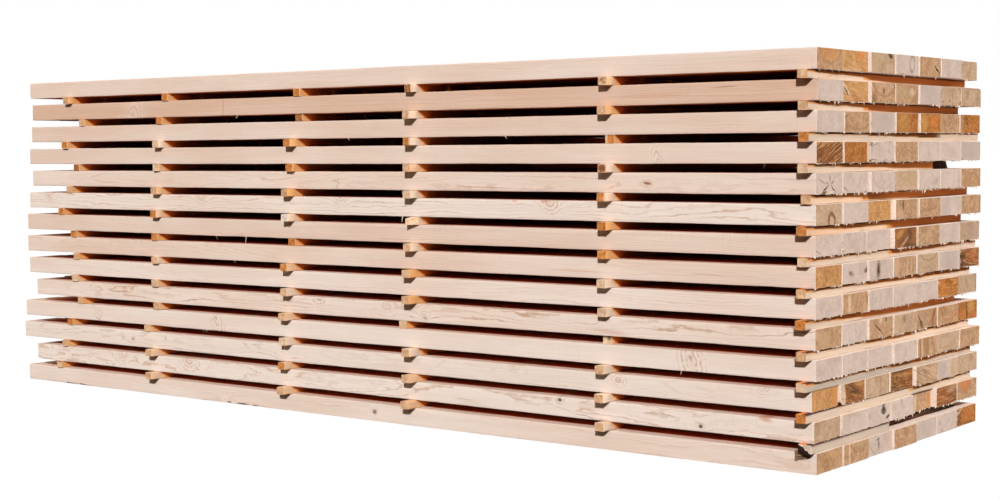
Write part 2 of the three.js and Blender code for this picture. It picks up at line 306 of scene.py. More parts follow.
# By layer and board, a row for each Mark.
END_MARKS = {
    (14, 1): [(1, 24, 96, 60, AMBER, 62, 35), (-12, 18, 34, 22, RUST, 40),
        (1, 24, 100, 66, UMBER, 30, 60, 0, 3.5), (22, 16, 3, 28, RUST, 40, 60, 4),
        (-60, 4, 8, 34, BROWN, 40)],
    (14, 2): [(26, 15, 46, 16, ORANGE, 75, 50, 18), (46, -11, 44, 22, AMBER, 60, 50, -6),
        (-30, 8, 60, 30, HONEY, 35, 70), (-20, -19, 90, 10, PINK, 50, 70)],
    (14, 3): [(-34, 4, 56, 44, SAND, 60), (36, 17, 34, 20, SAND, 60, 50, -20),
        (38, 19, 24, 13, HOLE, 100, 25, -20), (13, -10, 2.5, 28, BROWN, 40, 30, 8),
        (30, -10, 40, 18, PINK, 50, 70)],
    (14, 4): [(27, 3, 25, 36, GREY, 75, 60, -8, 4.5), (22, -12, 12, 8, GREY), (-28, -21, 26, 5, GREY)],
    (14, 5): [(-16, 1, 9, 24, RUST, 80, 50, -20), (34, -2, 60, 16, SAND, 60, 60, -28),
        (-60, 0, 6, 60, CREAM, 80, 30)],
    (14, 6): [(58, 0, 6, 34, GREY), (-62, 0, 4, 60, CREAM, 80, 30)],
    (14, 7): [(-29, 2, 8, 34, GREY, 60, 70, 4), (-13, 16, 7, 14, GREY)],
    (13, 2): [(-47, 2, 44, 14, CREAM, 60, 60, -36), (20, 10, 80, 20, HONEY)],
    (13, 3): [(6, 22, 108, 66, PINK, 35, 30), (6, 26, 114, 68, BROWN, 60, 60, 0, 4),
        (2, 4, 11, 15, OLIVE, 80, 50, -25), (-50, -15, 34, 24, UMBER, 60),
        (60, 15, 5, 18, DARK, 85, 40, 28)],
    (13, 4): [(28, 4, 24, 18, CREAM, 60, 70), (-20, 4, 70, 40, SAND, 50, 80),
        (-58, 0, 8, 60, PINK, 60, 50)],
    (13, 5): [(0, 0, 130, 70, ASH, 50, 50), (59, -4, 7, 40, GREY, 55)],
    (13, 6): [(8, 2, 4, 38, BROWN, 50, 50, 3), (-50, -14, 9, 6, BROWN, 60, 50),
        (-8, -12, 14, 6, BROWN, 50, 50, 10), (56, -16, 16, 7, UMBER, 70, 50, 28),
        (16, -17, 20, 7, BROWN, 45)],
    (13, 7): [(39, 0, 5, 42, BROWN, 70, 50, -12), (53, 0, 18, 50, GREY, 35, 70),
        (0, 22, 130, 3, UMBER, 55, 50)],
    (12, 2): [(8, 20, 150, 72, BROWN, 50, 60, 0, 6), (-24, -8, 22, 20, BROWN, 50, 60, 0, 3),
        (-24, -8, 42, 34, BROWN, 45, 60, 0, 3), (-52, 12, 20, 5, DARK, 80, 50, 14),
        (-54, -12, 14, 9, UMBER, 70, 50, -20), (-60, 0, 5, 40, CREAM, 90, 50)],
    (12, 3): [(0, 0, 120, 50, ASH, 50, 70)],
    (12, 4): [(-22, 2, 62, 46, HONEY, 55), (22, -12, 40, 14, RUST, 40, 60, 30),
        (61, 0, 10, 60, CREAM, 90, 25), (-10, 6, 70, 8, BROWN, 40, 60, 24)],
    (12, 5): [(-40, 0, 34, 40, HONEY, 70), (12, 0, 60, 44, ORANGE), (58, 0, 13, 60, SAND, 80, 25),
        (10, -10, 60, 8, BROWN, 50, 60, -14)],
    (12, 6): [(-32, 5, 11, 9, BROWN, 50, 50, 20), (-61, 0, 6, 60, RUST, 50, 50), (50, -10, 18, 14, PINK)],
    (12, 7): [(-18, 3, 8, 44, DARK, 75, 50, 28), (-50, 0, 22, 44, SAND),
        (-38, -4, 4, 40, UMBER, 50, 50, -30), (16, -12, 70, 22, RUST, 40, 70)],
    (11, 1): [(33, 14, 22, 22, DARK, 60, 50), (-59, 0, 5, 50, DARK, 50, 50),
        (10, -6, 60, 20, UMBER, 60, 60, 15)],
    (11, 2): [(57, 0, 14, 60, CREAM, 90, 30), (-54, -18, 18, 12, BROWN), (38, -12, 12, 16, RUST, 45)],
    (11, 3): [(-38, 16, 46, 2.6, GREY, 80, 40, 16), (38, 22, 16, 3, GREY, 80, 40, -8),
        (-44, -17, 34, 3.4, UMBER, 75, 40, -6), (14, -19, 24, 3, GREY, 75, 40, 10),
        (34, 2, 12, 10, ASH, 60, 50), (-52, 4, 12, 18, ASH)],
    (11, 4): [(4, -16, 84, 56, BROWN, 50, 60, 0, 2.5), (4, -14, 56, 34, BROWN, 40, 60, 0, 2.5),
        (58, 0, 2.5, 50, UMBER, 60, 40)],
    (11, 6): [(-10, -10, 50, 2, GREY, 35, 30, -3), (20, -4, 50, 2, GREY, 30, 30, 3)],
    (11, 7): [(0, 0, 130, 60, ASH, 60, 40), (-55, -20, 10, 5, UMBER, 80, 30)],
    (10, 1): [(-33, 5, 34, 3.4, GREY, 75, 50, -18), (-28, -21, 34, 6, HOLE, 90, 30, 14),
        (16, 2, 16, 5, GREY, 80, 50, 20), (-8, 1, 14, 6, GREY, 70, 50, -30),
        (42, 18, 34, 3, ASH, 70, 50, 16), (4, -20, 26, 9, CREAM, 60, 40)],
    (10, 2): [(22, 1, 3, 34, GREY, 70, 50, -34), (-50, -13, 26, 3, UMBER, 70, 40, -26),
        (-20, 12, 34, 3, ASH, 50, 50, -40), (50, -21, 16, 4, UMBER, 70, 40, 12)],
    (10, 3): [(5, 22, 120, 76, ASH, 70, 60, 0, 4)],
    (10, 4): [(16, 4, 90, 40, SAND, 50, 70), (-30, 8, 60, 2.5, BROWN, 30, 30, -10),
        (0, -19, 110, 12, PINK)],
    (10, 5): [(36, -6, 20, 13, GREY, 40, 60, 30)],
    (10, 6): [(62, 0, 3, 60, CREAM, 80, 30)],
    (10, 7): [(6, -22, 96, 68, BROWN, 50, 60, 0, 2.5), (6, -24, 70, 48, AMBER, 50, 60, 0, 4),
        (58, 0, 10, 60, GREY, 40)],
    (9, 1): [(13, -17, 29, 37, UMBER, 100, 60, 0, 7), (13, -18, 14, 22, PINK, 50, 50)],
    (9, 2): [(60, 4, 3, 50, CREAM, 80, 30)],
    (9, 3): [(-9, -2, 20, 26, BROWN, 40, 60, 0, 2.5), (-9, -2, 9, 13, BROWN, 45, 60, 0, 2.5),
        (34, -8, 50, 30, HONEY, 35, 70), (60, 0, 8, 60, CREAM, 80, 30)],
    (9, 4): [(-22, 9, 12, 28, OLIVE, 70, 60, -5), (-40, -10, 50, 26, PINK, 50, 70),
        (59, 0, 9, 60, CREAM, 80, 40)],
    (9, 5): [(50, 21, 14, 6, UMBER, 75, 50), (-10, -6, 90, 3, BROWN, 30, 30, 4),
        (57, 0, 4, 40, BROWN, 50, 50), (61, 0, 5, 60, CREAM, 90, 30)],
    (9, 6): [(-30, 0, 60, 60, ASH, 60, 70)],
    (9, 7): [(-47, 18, 18, 5, BROWN, 70, 50, -20), (1, 15, 5, 14, BROWN, 60, 50, -5),
        (-52, 2, 14, 3, BROWN, 50, 50), (57, 8, 12, 44, OLIVE, 35)],
    (8, 1): [(-50, -12, 24, 4, UMBER, 50, 50, -20)],
    (8, 2): [(51, 0, 7, 46, GREY, 40, 60, -8), (-20, 8, 60, 34, ASH, 40, 60, 10, 3)],
    (8, 4): [(4, -2, 84, 40, UMBER, 75, 50, 28), (20, 8, 20, 30, DARK, 70, 40, 14),
        (-34, 10, 44, 16, AMBER, 80, 50, 24), (28, -18, 64, 12, DARK, 70, 50),
        (-8, -10, 50, 5, CREAM, 50, 50, 30), (60, 0, 8, 60, CREAM, 90, 30)],
    (8, 7): [(0, 0, 110, 44, GREY, 30, 50), (44, -6, 40, 40, ASH, 50, 70)],
    (7, 2): [(-18, -1, 26, 12, GREY, 70, 50, -12), (-22, 0, 12, 6, OLIVE, 80, 50, -20),
        (57, 3, 20, 11, DARK, 90, 40, 18), (28, -4, 26, 4, ASH)],
    (7, 3): [(-14, 0, 20, 44, OLIVE, 75), (-13, -2, 11, 18, HOLE, 100, 40)],
    (7, 4): [(-46, 0, 30, 50, PINK, 70), (14, 0, 6, 44, CREAM, 35, 70), (34, 0, 5, 44, CREAM, 35, 70)],
    (7, 5): [(5, 34, 104, 56, OLIVE, 60, 60, 0, 2.6), (5, 30, 90, 40, SAND, 50, 30),
        (-10, -10, 100, 3, BROWN, 30, 30, 4), (-36, -14, 12, 8, PINK, 60, 50)],
    (7, 6): [(0, 0, 90, 60, ASH, 60)],
    (7, 7): [(-46, 0, 40, 54, HOLE, 80), (20, 4, 70, 34, RUST, 60), (0, -18, 90, 12, DARK, 70)],
    (6, 1): [(-10, -14, 16, 14, ASH, 50, 70)],
    (6, 2): [(-31, 2, 14, 44, CREAM, 65, 50), (58, 4, 12, 20, UMBER, 55)],
    (6, 5): [(-12, 19, 30, 3, ASH, 70, 50, -10), (50, 14, 24, 3, ASH, 60, 50, 10)],
    (6, 6): [(-34, 0, 50, 44, ORANGE, 40)],
    (6, 7): [(58, 0, 10, 50, GREY)],
    (5, 1): [(-24, -4, 50, 44, SAND, 50, 70), (-54, 10, 14, 20, PINK, 60)],
    (5, 2): [(6, 3, 14, 4, GREY, 50, 50, -45), (-40, 10, 20, 3, ASH, 50, 50, -20)],
    (5, 3): [(-2, 18, 16, 14, CREAM, 70), (25, 15, 24, 18, SAND, 80, 50), (26, 17, 11, 11, OLIVE, 85, 40),
        (44, -4, 12, 34, SAND, 50, 60, -20)],
    (5, 4): [(-6, 12, 20, 16, OLIVE, 45), (-44, 6, 34, 20, SAND, 70, 50), (-26, -14, 4, 20, GREY, 40, 50),
        (-50, -12, 22, 18, PINK)],
    (5, 5): [(-28, -11, 17, 20, DARK, 85, 30, 36), (-27, -12, 7, 7, RUST, 70, 50),
        (36, 0, 20, 42, RUST, 60, 40, -16), (48, 14, 12, 20, UMBER, 70, 50, -30),
        (1, 4, 5, 34, GREY, 60, 50), (36, -12, 14, 14, UMBER, 60, 60, 0, 3)],
    (5, 6): [(4, 26, 128, 80, RUST, 45, 60, 0, 6), (14, 22, 70, 44, RUST, 25, 60, 0, 4),
        (-2, 24, 8, 4, UMBER, 60, 50)],
    (5, 7): [(-4, 0, 11, 60, DARK, 90, 50, 4), (24, 8, 44, 26, HONEY, 70), (46, -14, 40, 16, RUST, 80, 50),
        (-30, -8, 40, 24, RUST, 40), (-40, 14, 40, 14, OLIVE, 35, 70)],
    (4, 4): [(0, 0, 10, 24, ASH, 50, 70)],
    (4, 5): [(-50, 0, 11, 60, BROWN, 75, 40), (-37, 0, 7, 60, CREAM, 60, 50),
        (-12, 0, 30, 60, BROWN, 50, 50), (-8, 0, 4, 60, UMBER, 50, 50), (30, 0, 9, 60, BROWN, 70, 50, 14),
        (50, 6, 26, 60, PINK, 60, 50, 26)],
    (4, 6): [(-20, -12, 80, 3, BROWN, 30, 30)],
    (4, 7): [(-6, 10, 34, 14, OLIVE, 35, 70)],
    (3, 1): [(48, 0, 30, 70, AMBER, 80, 30), (51, 2, 9, 60, ORANGE, 50, 50), (-28, 7, 14, 9, RUST, 60, 50),
        (14, 10, 22, 5, RUST, 50, 50, -24)],
    (3, 2): [(-54, 0, 34, 70, CREAM, 95, 25, 10), (4, 4, 70, 14, HOLE, 90, 50, -20),
        (36, 17, 46, 12, HONEY, 70, 50), (20, -14, 50, 12, BROWN, 60, 60, 6),
        (59, 0, 9, 60, CREAM, 85, 30)],
    (3, 3): [(17, 0, 5, 46, BROWN, 50, 60, 4), (17, 14, 12, 10, BROWN, 40), (60, 0, 7, 60, RUST, 40, 50)],
    (3, 4): [(-60, 0, 6, 60, CREAM, 95, 30), (-40, -4, 44, 50, DARK, 55, 70),
        (-26, 6, 26, 18, AMBER, 40, 60, 0, 4), (30, 10, 60, 14, AMBER, 45, 70),
        (0, 22, 130, 5, DARK, 80, 50)],
    (3, 5): [(-30, 2, 70, 30, GREY, 40, 70, -20), (40, 6, 50, 34, CREAM, 35, 70),
        # painted shade: the dark patch in the lower near corner
        (-60, -18, 12, 16, DARK, 80, 40, -30)],
    (3, 6): [(42, -3, 52, 50, HONEY, 60, 50, 20), (46, 4, 24, 30, PINK, 60), (-30, 0, 60, 44, ASH, 50, 70),
        (4, 8, 14, 5, CREAM, 90, 50, 20)],
    (2, 1): [(-46, 18, 22, 8, BROWN, 40)],
    (2, 2): [(-10, 18, 90, 10, SAND, 50, 60, -8)],
    (2, 3): [(25, 6, 28, 16, HOLE, 85, 35), (24, 14, 13, 22, HOLE, 85, 40),
        (47, -10, 20, 7, HOLE, 95, 35, 20), (-48, 2, 12, 12, GREY, 30)],
    (2, 4): [(-6, 14, 9, 18, GREY, 40, 70), (-42, 6, 20, 16, SAND, 50, 70)],
    (2, 5): [(50, 0, 28, 50, AMBER, 75, 50), (48, 4, 10, 30, RUST, 50, 50), (-28, 0, 14, 50, CREAM, 60)],
    (2, 6): [(-30, -2, 60, 40, RUST, 50, 70), (30, 12, 50, 20, PINK, 50, 70)],
    (2, 7): [(-12, 16, 64, 42, RUST, 90, 40), (-16, 14, 40, 14, ORANGE),
        (-12, 15, 70, 46, BROWN, 40, 60, 0, 4), (30, 2, 22, 8, GREY)],
    (1, 1): [(-17, -4, 34, 22, OLIVE, 35), (4, -22, 110, 70, HONEY, 50, 60, 0, 6),
        (10, -24, 70, 44, RUST, 35, 60, 0, 5), (-58, -4, 9, 40, GREY, 40)],
    (1, 2): [(-34, 0, 8, 70, CREAM, 60, 50, 2), (12, 30, 90, 62, BROWN, 60, 60, -10, 2.6),
        (14, 26, 70, 36, SAND, 60, 50, -10)],
    (1, 3): [(-10, 12, 16, 5, DARK, 85, 40, 12), (-44, -8, 40, 3, GREY, 50, 50, -38),
        (-34, -14, 34, 3, GREY, 40, 50, -38), (44, 4, 20, 50, PINK, 50, 70),
        (-7, 0, 9, 30, GREY, 60, 50, 4)],
    (1, 4): [(-5, 19, 20, 4, UMBER, 65, 50, -28)],
    (1, 5): [(0, 0, 130, 60, ASH, 60, 50), (46, 20, 30, 6, SAND, 60, 50, -20)],
    (1, 6): [(-42, 3, 13, 14, GREY), (9, 6, 10, 9, GREY, 35), (-30, -18, 20, 14, ASH, 60)],
    (1, 7): [(-46, -2, 26, 44, DARK, 70), (18, 2, 60, 34, RUST, 70), (-38, 16, 44, 8, CREAM, 60, 50, 30),
        (30, 14, 40, 9, AMBER, 70, 50, -20), (14, -19, 80, 8, UMBER, 70)],
}

# On the battens' near ends, by course and column. Column 6 is a last batten's inner length.
# The black band at the top of a near end, at up 9.5, is painted shade: the dark gap between a thinner batten
# and the board above.
BATTEN_MARKS = {
    (13, 3): [(10, 0, 7, 30, CREAM, 90, 30)],
    (13, 4): [(-3, 3, 9, 5, DARK, 80, 50, 20), (4, -3, 7, 5, UMBER, 80, 50, -30),
        (-6, -5, 7, 4, CREAM, 80, 50), (6, 5, 5, 4, DARK, 60, 50)],
    (12, 2): [(0, 9.5, 40, 6, HOLE, 90, 30)],
    (12, 3): [(10, 0, 7, 30, CREAM, 90, 30)],
    (11, 3): [(10, 0, 7, 30, CREAM, 90, 30)],
    (11, 4): [(-10, 0, 8, 30, CREAM, 80, 40), (1, 0, 8, 16, ORANGE, 70, 50)],
    (10, 4): [(0, 0, 26, 22, PINK, 80, 60, 0, 3), (0, 0, 17, 13, DARK, 70, 50)],
    # painted shade: this inner length's whole near end lies in shade
    (10, 6): [(0, 0, 40, 40, HOLE, 90, 50)],
    (9, 4): [(10, 0, 8, 30, CREAM, 90, 40), (-2, -1, 10, 9, ORANGE, 60, 50)],
    (8, 2): [(-3, 2, 5, 5, GREY, 60, 50), (4, -3, 6, 4, GREY, 60, 50)],
    (7, 0): [(0, 9.5, 40, 6, HOLE, 90, 30)],
    (4, 4): [(-6, -4, 14, 12, CREAM, 90, 30, 35), (5, 4, 12, 9, DARK, 80, 40, 20)],
    (3, 0): [(0, 9.5, 40, 6, HOLE, 90, 30)],
    (1, 0): [(0, 9.5, 40, 6, HOLE, 90, 30)],
    (1, 2): [(-2, 3, 5, 4, GREY, 60, 50), (4, -2, 4, 5, GREY, 60, 50)],
    (1, 5): [(6, 4, 18, 10, SAND, 60, 50), (-8, -3, 22, 4, OLIVE, 90, 40, -28)],
}

# Marks on the near boards' long faces, by layer. across is the distance from the squared-off end.
FACE_MARKS = {
    13: [(1822, 0, 5, 60, RUST, 45), (226, 12, 60, 3, UMBER, 50, 50, -2), (420, -2, 160, 12, RUST, 22, 70),
        (2230, -4, 120, 16, RUST, 20, 70)],
    10: [(425, -1, 36, 15, PINK, 50, 70), (425, -1, 20, 6, UMBER, 90, 50, 10),
        (900, -14, 160, 3, UMBER, 35, 60, 1)],
    9: [(806, 21, 16, 5, RUST), (716, 21, 22, 6, RUST), (2594, 8, 30, 14, RUST, 22, 70, 20)],
    7: [(620, -8, 130, 4, RUST, 35), (260, -3, 90, 2, UMBER, 30, 30, 2)],
    5: [(1461, 16, 14, 5, GREY), (1092, -12, 14, 6, GREY, 60, 60, 20), (530, -13, 90, 10, RUST, 30, 70, 4)],
    4: [(314, 10, 14, 9, GREY, 35), (1864, 13, 10, 7, GREY, 45)],
    3: [(2212, -2, 9, 9, GREY, 70), (2067, 8, 5, 10, GREY, 60), (498, 8, 16, 8, GREY, 30)],
    2: [(672, 16, 11, 8, DARK, 85, 50), (282, -11, 9, 8, DARK, 90, 50), (120, 21, 34, 12, RUST, 60, 50, 12),
        (705, 18, 30, 5, RUST, 40)],
    1: [(1272, 1, 13, 11, DARK, 75), (1818, -20, 14, 5, DARK, 80, 50), (1765, -21, 44, 5, DARK, 85),
        (1716, -22, 24, 4, DARK, 80)],
}


# Knots on the near boards' long faces, by layer, in millimetres: the distance from the
# squared-off end, the height above the middle of the board, and the radius.
FACE_KNOTS = {
    13: [(2210, -34, 13)], 11: [(393, -30, 6)], 10: [(425, -2, 5)],
    9: [(2594, 13, 8), (1914, 15, 9), (700, 24, 12), (1383, 32, 10)], 7: [(2199, 26, 8)],
    5: [(2376, 2, 8), (1461, 16, 8), (1220, 2, 6), (1092, -12, 6)],
    4: [(2382, 11, 9), (1864, 13, 10), (314, 12, 13)],
    3: [(2212, -2, 4), (800, 16, 8), (498, 8, 8), (115, 26, 8)],
    2: [(2263, 12, 9), (1975, 18, 12), (672, 16, 5), (282, -12, 5)], 1: [(1272, 0, 6)],
}


@dataclass(frozen=True)
class Wane:
    """A bark edge: the corner of a board that the log was too round to fill, in millimetres.

    side is 1 for the far long edge, face is 1 for the top, and to_end says which end of the
    board it is widest at.
    """

    side: int
    face: int
    across: float
    down: float
    run: float
    to_end: int


# By layer and board, a row for each Wane.
WANES = {
    (13, 7): [(1, 1, 16, 8, 1500, 1)], (11, 3): [(-1, 1, 15, 8, 900, 1), (-1, -1, 12, 7, 700, 1)],
    (8, 2): [(1, 1, 14, 16, 800, 1)], (1, 1): [(-1, -1, 6, 1, 2200, -1)],
    (3, 2): [(-1, -1, 12, 10, 600, 1)], (6, 7): [(1, 1, 18, 12, 1900, -1)],
}

# The boards whose far long edge the saw left torn at the squared-off end, by layer and board.
TORN_SIDES = (
    (14, 6), (13, 1), (13, 5), (12, 1), (11, 2), (10, 2), (10, 3), (9, 3), (9, 4), (9, 6), (8, 1),
    (8, 4), (7, 6), (6, 4), (6, 5), (1, 3), (1, 6),
)


# Long loose fibres on the near boards, by layer, in millimetres: the distance from the squared-off
# end, the length, the lean to that end, and the root's height above the middle of the board.
HAIRS = {
    8: [(1855, 17, 0.3, -23), (1735, 19, -0.1, -23)], 7: [(1784, 9, 0.5, -23), (1106, 17, 0.1, 12)],
    4: [(1915, 7, -0.4, -23), (1905, 8, 0.4, -23), (337, 10, 0, -23)], 13: [(1763, 15, -0.9, -23)],
    9: [(1165, 17, 0, -23)], 11: [(124, 15, -0.1, -23)], 12: [(1352, 11, 0.8, -23), (836, 9, 1, -23)],
}


# ---------------------------------------------------------------- node trees


def mark_slots(kind: str) -> list[str]:
    """Returns what the attributes of each mark of a kind start with."""
    return [f"{kind}_{slot}" for slot in range(1, MARK_SLOTS[kind] + 1)]


class Graph:
    """Draws one node tree, a material's, the world's or a shared group's."""

    def __init__(self, tree: bpy.types.NodeTree) -> None:
        """Takes over an empty node tree."""
        self.tree = tree

    def node(self, kind: str, inputs: dict[Any, Value] | None = None, **settings: Any) -> Outputs:
        """Adds a node.

        Args:
            kind: its type.
            inputs: the socket or the value that each input gets, by the input's name or number.
            settings: its properties.

        Returns:
            The node's outputs.
        """
        made = self.tree.nodes.new(kind)
        for name, value in settings.items():
            setattr(made, name, value)
        for name, value in (inputs or {}).items():
            if isinstance(value, bpy.types.NodeSocket):
                self.tree.links.new(value, made.inputs[name])
            else:
                made.inputs[name].default_value = value
        return made.outputs

    def math(self, operation: str, *values: Value, clamp: bool = False) -> Socket:
        """Returns the result of a Math node."""
        return self.node("ShaderNodeMath", dict(enumerate(values)), operation=operation, use_clamp=clamp)[0]

    def add(self, a: Value, b: Value) -> Socket:
        """Returns a + b."""
        return self.math("ADD", a, b)

    def times(self, a: Value, b: Value, *more: Value, clamp: bool = False) -> Socket:
        """Returns the product of the values, each time of what is found and the next one."""
        found = self.math("MULTIPLY", a, b, clamp=clamp and not more)
        return self.times(found, *more, clamp=clamp) if more else found

    def minus(self, a: Value, b: Value) -> Socket:
        """Returns a - b."""
        return self.math("SUBTRACT", a, b)

    def most(self, values: Iterable[Value]) -> Socket:
        """Returns the greatest of several values."""
        return reduce(lambda a, b: self.math("MAXIMUM", a, b), values)

    def length(self, a: Value, b: Value) -> Socket:
        """Returns the length of a vector of two numbers."""
        return self.math("SQRT", self.add(self.times(a, a), self.times(b, b)))

    def split(self, vector: Socket) -> tuple[Socket, ...]:
        """Returns the three numbers of a vector."""
        return tuple(self.node("ShaderNodeSeparateXYZ", {0: vector}))

    def combine(self, x: Value, y: Value, z: Value) -> Socket:
        """Returns a vector of three numbers."""
        return self.node("ShaderNodeCombineXYZ", {0: x, 1: y, 2: z})[0]

    def ranged(self, kind: str, *values: Value) -> Socket:
        """Returns the result of a Map Range node."""
        return self.node("ShaderNodeMapRange", dict(enumerate(values)), interpolation_type=kind)[0]

    def step(self, value: Value, low: Value, high: Value, start: Value = 0.0, end: Value = 1.0) -> Socket:
        """Returns start below low and end above high, with a smooth passage between."""
        return self.ranged("SMOOTHSTEP", value, low, high, start, end)

    def spread(self, value: Value, low: Value, high: Value, start: Value, end: Value) -> Socket:
        """Returns value carried in a straight line from low..high to start..end."""
        return self.ranged("LINEAR", value, low, high, start, end)

    def mix(self, share: Value, a: Value, b: Value, blend: str = "MIX") -> Socket:
        """Returns colour a with b laid over it to the given share."""
        return self.node("ShaderNodeMix", {0: share, 6: a, 7: b}, data_type="RGBA", blend_type=blend)[2]

    def laid(
        self, base: Value, given: Socket, none: float, full: float, share: Value, colour: Colour
    ) -> Socket:
        """Returns a base with a colour over it where given passes from none towards full."""
        low, high, *ends = (none, full, 0.0, 1.0) if none < full else (full, none, 1.0, 0.0)
        return self.mix(self.times(self.step(given, low, high, *ends), share), base, colour)

    def shaded(self, colour: Value, shade: Value) -> Socket:
        """Returns a colour made lighter or darker."""
        return self.mix(1.0, colour, self.combine(shade, shade, shade), blend="MULTIPLY")

    def noise(self, vector: Socket, detail: float = 2.0, rough: float = 0.5) -> Socket:
        """Returns a smooth noise from 0 to 1 over a vector."""
        fed = {"Vector": vector, "Scale": 1.0, "Detail": detail, "Roughness": rough}
        return self.node("ShaderNodeTexNoise", fed, noise_dimensions="3D")[0]

    def cloud(self, vector: Socket, stretch: Triple, detail: float = 2.0, rough: float = 0.5) -> Socket:
        """Returns a noise over a vector that is first multiplied axis by axis."""
        stretched = self.node("ShaderNodeVectorMath", {0: vector, 1: stretch}, operation="MULTIPLY")[0]
        return self.noise(stretched, detail, rough)

    def noise_line(self, value: Socket, detail: float = 1.0) -> Socket:
        """Returns a smooth noise from 0 to 1 over one number."""
        fed = {"W": value, "Scale": 1.0, "Detail": detail}
        return self.node("ShaderNodeTexNoise", fed, noise_dimensions="1D")[0]

    def attribute(self, name: str, kind: str = "Fac") -> Socket:
        """Returns a value that the mesh carries at its points."""
        return self.node("ShaderNodeAttribute", attribute_type="GEOMETRY", attribute_name=name)[kind]

    def vector(self, name: str) -> Socket:
        """Returns a vector that the mesh carries at its points."""
        return self.attribute(name, "Vector")

    def place(self, group: "WoodGroup", **values: Value) -> Outputs:
        """Places a shared group and feeds its inputs, whose names have _ for a space."""
        fed = {name.replace("_", " "): value for name, value in values.items()}
        return self.node("ShaderNodeGroup", fed, node_tree=group.tree)


def emptied(owner: bpy.types.Material | bpy.types.World) -> Graph:
    """Clears a material's or a world's own nodes.

    Args:
        owner: the material or world.

    Returns:
        A graph that draws in their place.
    """
    owner.use_nodes = True
    owner.node_tree.nodes.clear()
    return Graph(owner.node_tree)


class WoodGroup:
    """A shader node group that several finishes share. Subclasses name its inputs and draw it."""

    name = ""
    inputs: tuple[str, ...] = ()
    VECTORS = ("Grain", "Knot", "Place")

    def __init__(self) -> None:
        """Makes the group's tree and its sockets, and draws it."""
        self.tree = bpy.data.node_groups.new(self.name, "ShaderNodeTree")
        for name in self.inputs:
            kind = "NodeSocketVector" if name in self.VECTORS else "NodeSocketFloat"
            self.tree.interface.new_socket(name=name, in_out="INPUT", socket_type=kind)
        graph = Graph(self.tree)
        given = graph.node("NodeGroupInput")
        results = self.draw(graph, *(given[name] for name in self.inputs))
        for name in results:
            self.tree.interface.new_socket(name=name, in_out="OUTPUT", socket_type="NodeSocketFloat")
        graph.node("NodeGroupOutput", results)

    def draw(self, g: Graph, *given: Socket) -> dict[str, Socket]:
        """Draws the tree.

        Args:
            g: the graph to draw in.
            given: the group's input sockets.

        Returns:
            The sockets that feed the group's outputs, by name.
        """
        raise NotImplementedError


class GrowthRings(WoodGroup):
    """Year rings round the pith: pale early wood that darkens to late wood, then breaks off."""

    name = "growth_rings"
    inputs = ("Grain", "Ring Width", "Wander", "Bend")

    def draw(self, g: Graph, *given: Socket) -> dict[str, Socket]:
        """Draws the rings in tree space: x along the log, y and z from the pith.

        Args:
            g: the graph to draw in.
            given: the group's input sockets.

        Returns:
            The sockets that feed the group's outputs, by name.
        """
        grain, ring_width, wander, bend = given
        y, z = g.split(grain)[1:]
        slow = g.cloud(grain, (1.6, 9.0, 9.0))
        quick = g.cloud(grain, (14.0, 60.0, 60.0), 3.0, 0.6)
        wander = g.times(g.add(g.minus(slow, 0.5), g.times(g.minus(quick, 0.5), 0.2)), wander)
        far = g.length(y, z)
        radius = g.add(g.add(far, wander), bend)
        uneven = g.times(g.noise_line(g.times(radius, 70.0)), 1.6)
        count = g.add(g.math("DIVIDE", radius, ring_width), uneven)
        share = g.math("FRACT", count)
        late = g.times(g.step(share, 0.58, 0.88), g.step(share, 0.92, 1.0, 1.0, 0.0))
        year = g.noise_line(g.times(g.math("FLOOR", count), 1.37), 0.0)
        return {"Late": late, "Radius": far, "Year": year}


class BranchKnot(WoodGroup):
    """One branch that runs out from the pith, and how the rings bend round it.

    Knot holds the branch's place along the log, its direction round the pith, and its radius.
    """

    name = "branch_knot"
    inputs = ("Grain", "Knot")

    def draw(self, g: Graph, *given: Socket) -> dict[str, Socket]:
        """Draws a cone that widens away from the pith and leans up the trunk.

        Args:
            g: the graph to draw in.
            given: the group's input sockets.

        Returns:
            The sockets that feed the group's outputs, by name.
        """
        grain, knot = given
        x, y, z = g.split(grain)
        place, turn, size = g.split(knot)
        cosine, sine = g.math("COSINE", turn), g.math("SINE", turn)
        out = g.add(g.times(y, cosine), g.times(z, sine))
        aside = g.minus(g.times(z, cosine), g.times(y, sine))
        ahead = g.times(g.minus(g.minus(x, place), g.times(out, KNOT_LEAN)), 0.85)
        wobble = g.times(g.minus(g.cloud(grain, (90.0, 90.0, 90.0)), 0.5), 0.004)
        off = g.add(g.length(ahead, aside), wobble)
        reach = g.times(size, g.spread(out, 0.0, 0.06, 0.35, 1.0))
        share = g.math("DIVIDE", off, g.math("MAXIMUM", reach, 0.0008))
        here = g.step(out, 0.0, 0.006)
        core = g.times(g.step(share, 0.5, 1.1, 1.0, 0.0), here)
        broken = g.cloud(grain, (70.0, 110.0, 110.0))
        turns = g.math("FRACT", g.add(g.times(share, 1.3), g.times(broken, 1.1)))
        arcs = g.times(g.step(turns, 0.3, 0.72), g.step(turns, 0.72, 1.0, 1.0, 0.0))
        arcs = g.times(arcs, g.step(share, 1.2, 3.4, 1.0, 0.0), g.step(broken, 0.36, 0.5), here)
        halo = g.times(g.math("EXPONENT", g.times(share, share, -0.13)), here)
        return {"Core": core, "Rim": arcs, "Halo": halo, "Bend": g.times(halo, reach, -0.7)}


class Fibres(WoodGroup):
    """The fine lines of the wood's fibres along the log, and slow drifts of its colour."""

    name = "wood_fibres"
    inputs = ("Grain",)

    def draw(self, g: Graph, *given: Socket) -> dict[str, Socket]:
        """Draws noises drawn out along the log.

        Args:
            g: the graph to draw in.
            given: the group's input sockets.

        Returns:
            The sockets that feed the group's outputs, by name.
        """
        fine = g.cloud(given[0], (14.0, 700.0, 700.0), 3.0, 0.6)
        coarse = g.cloud(given[0], (4.0, 130.0, 130.0))
        return {"Fine": fine, "Coarse": coarse, "Drift": g.cloud(given[0], (2.2, 16.0, 16.0))}


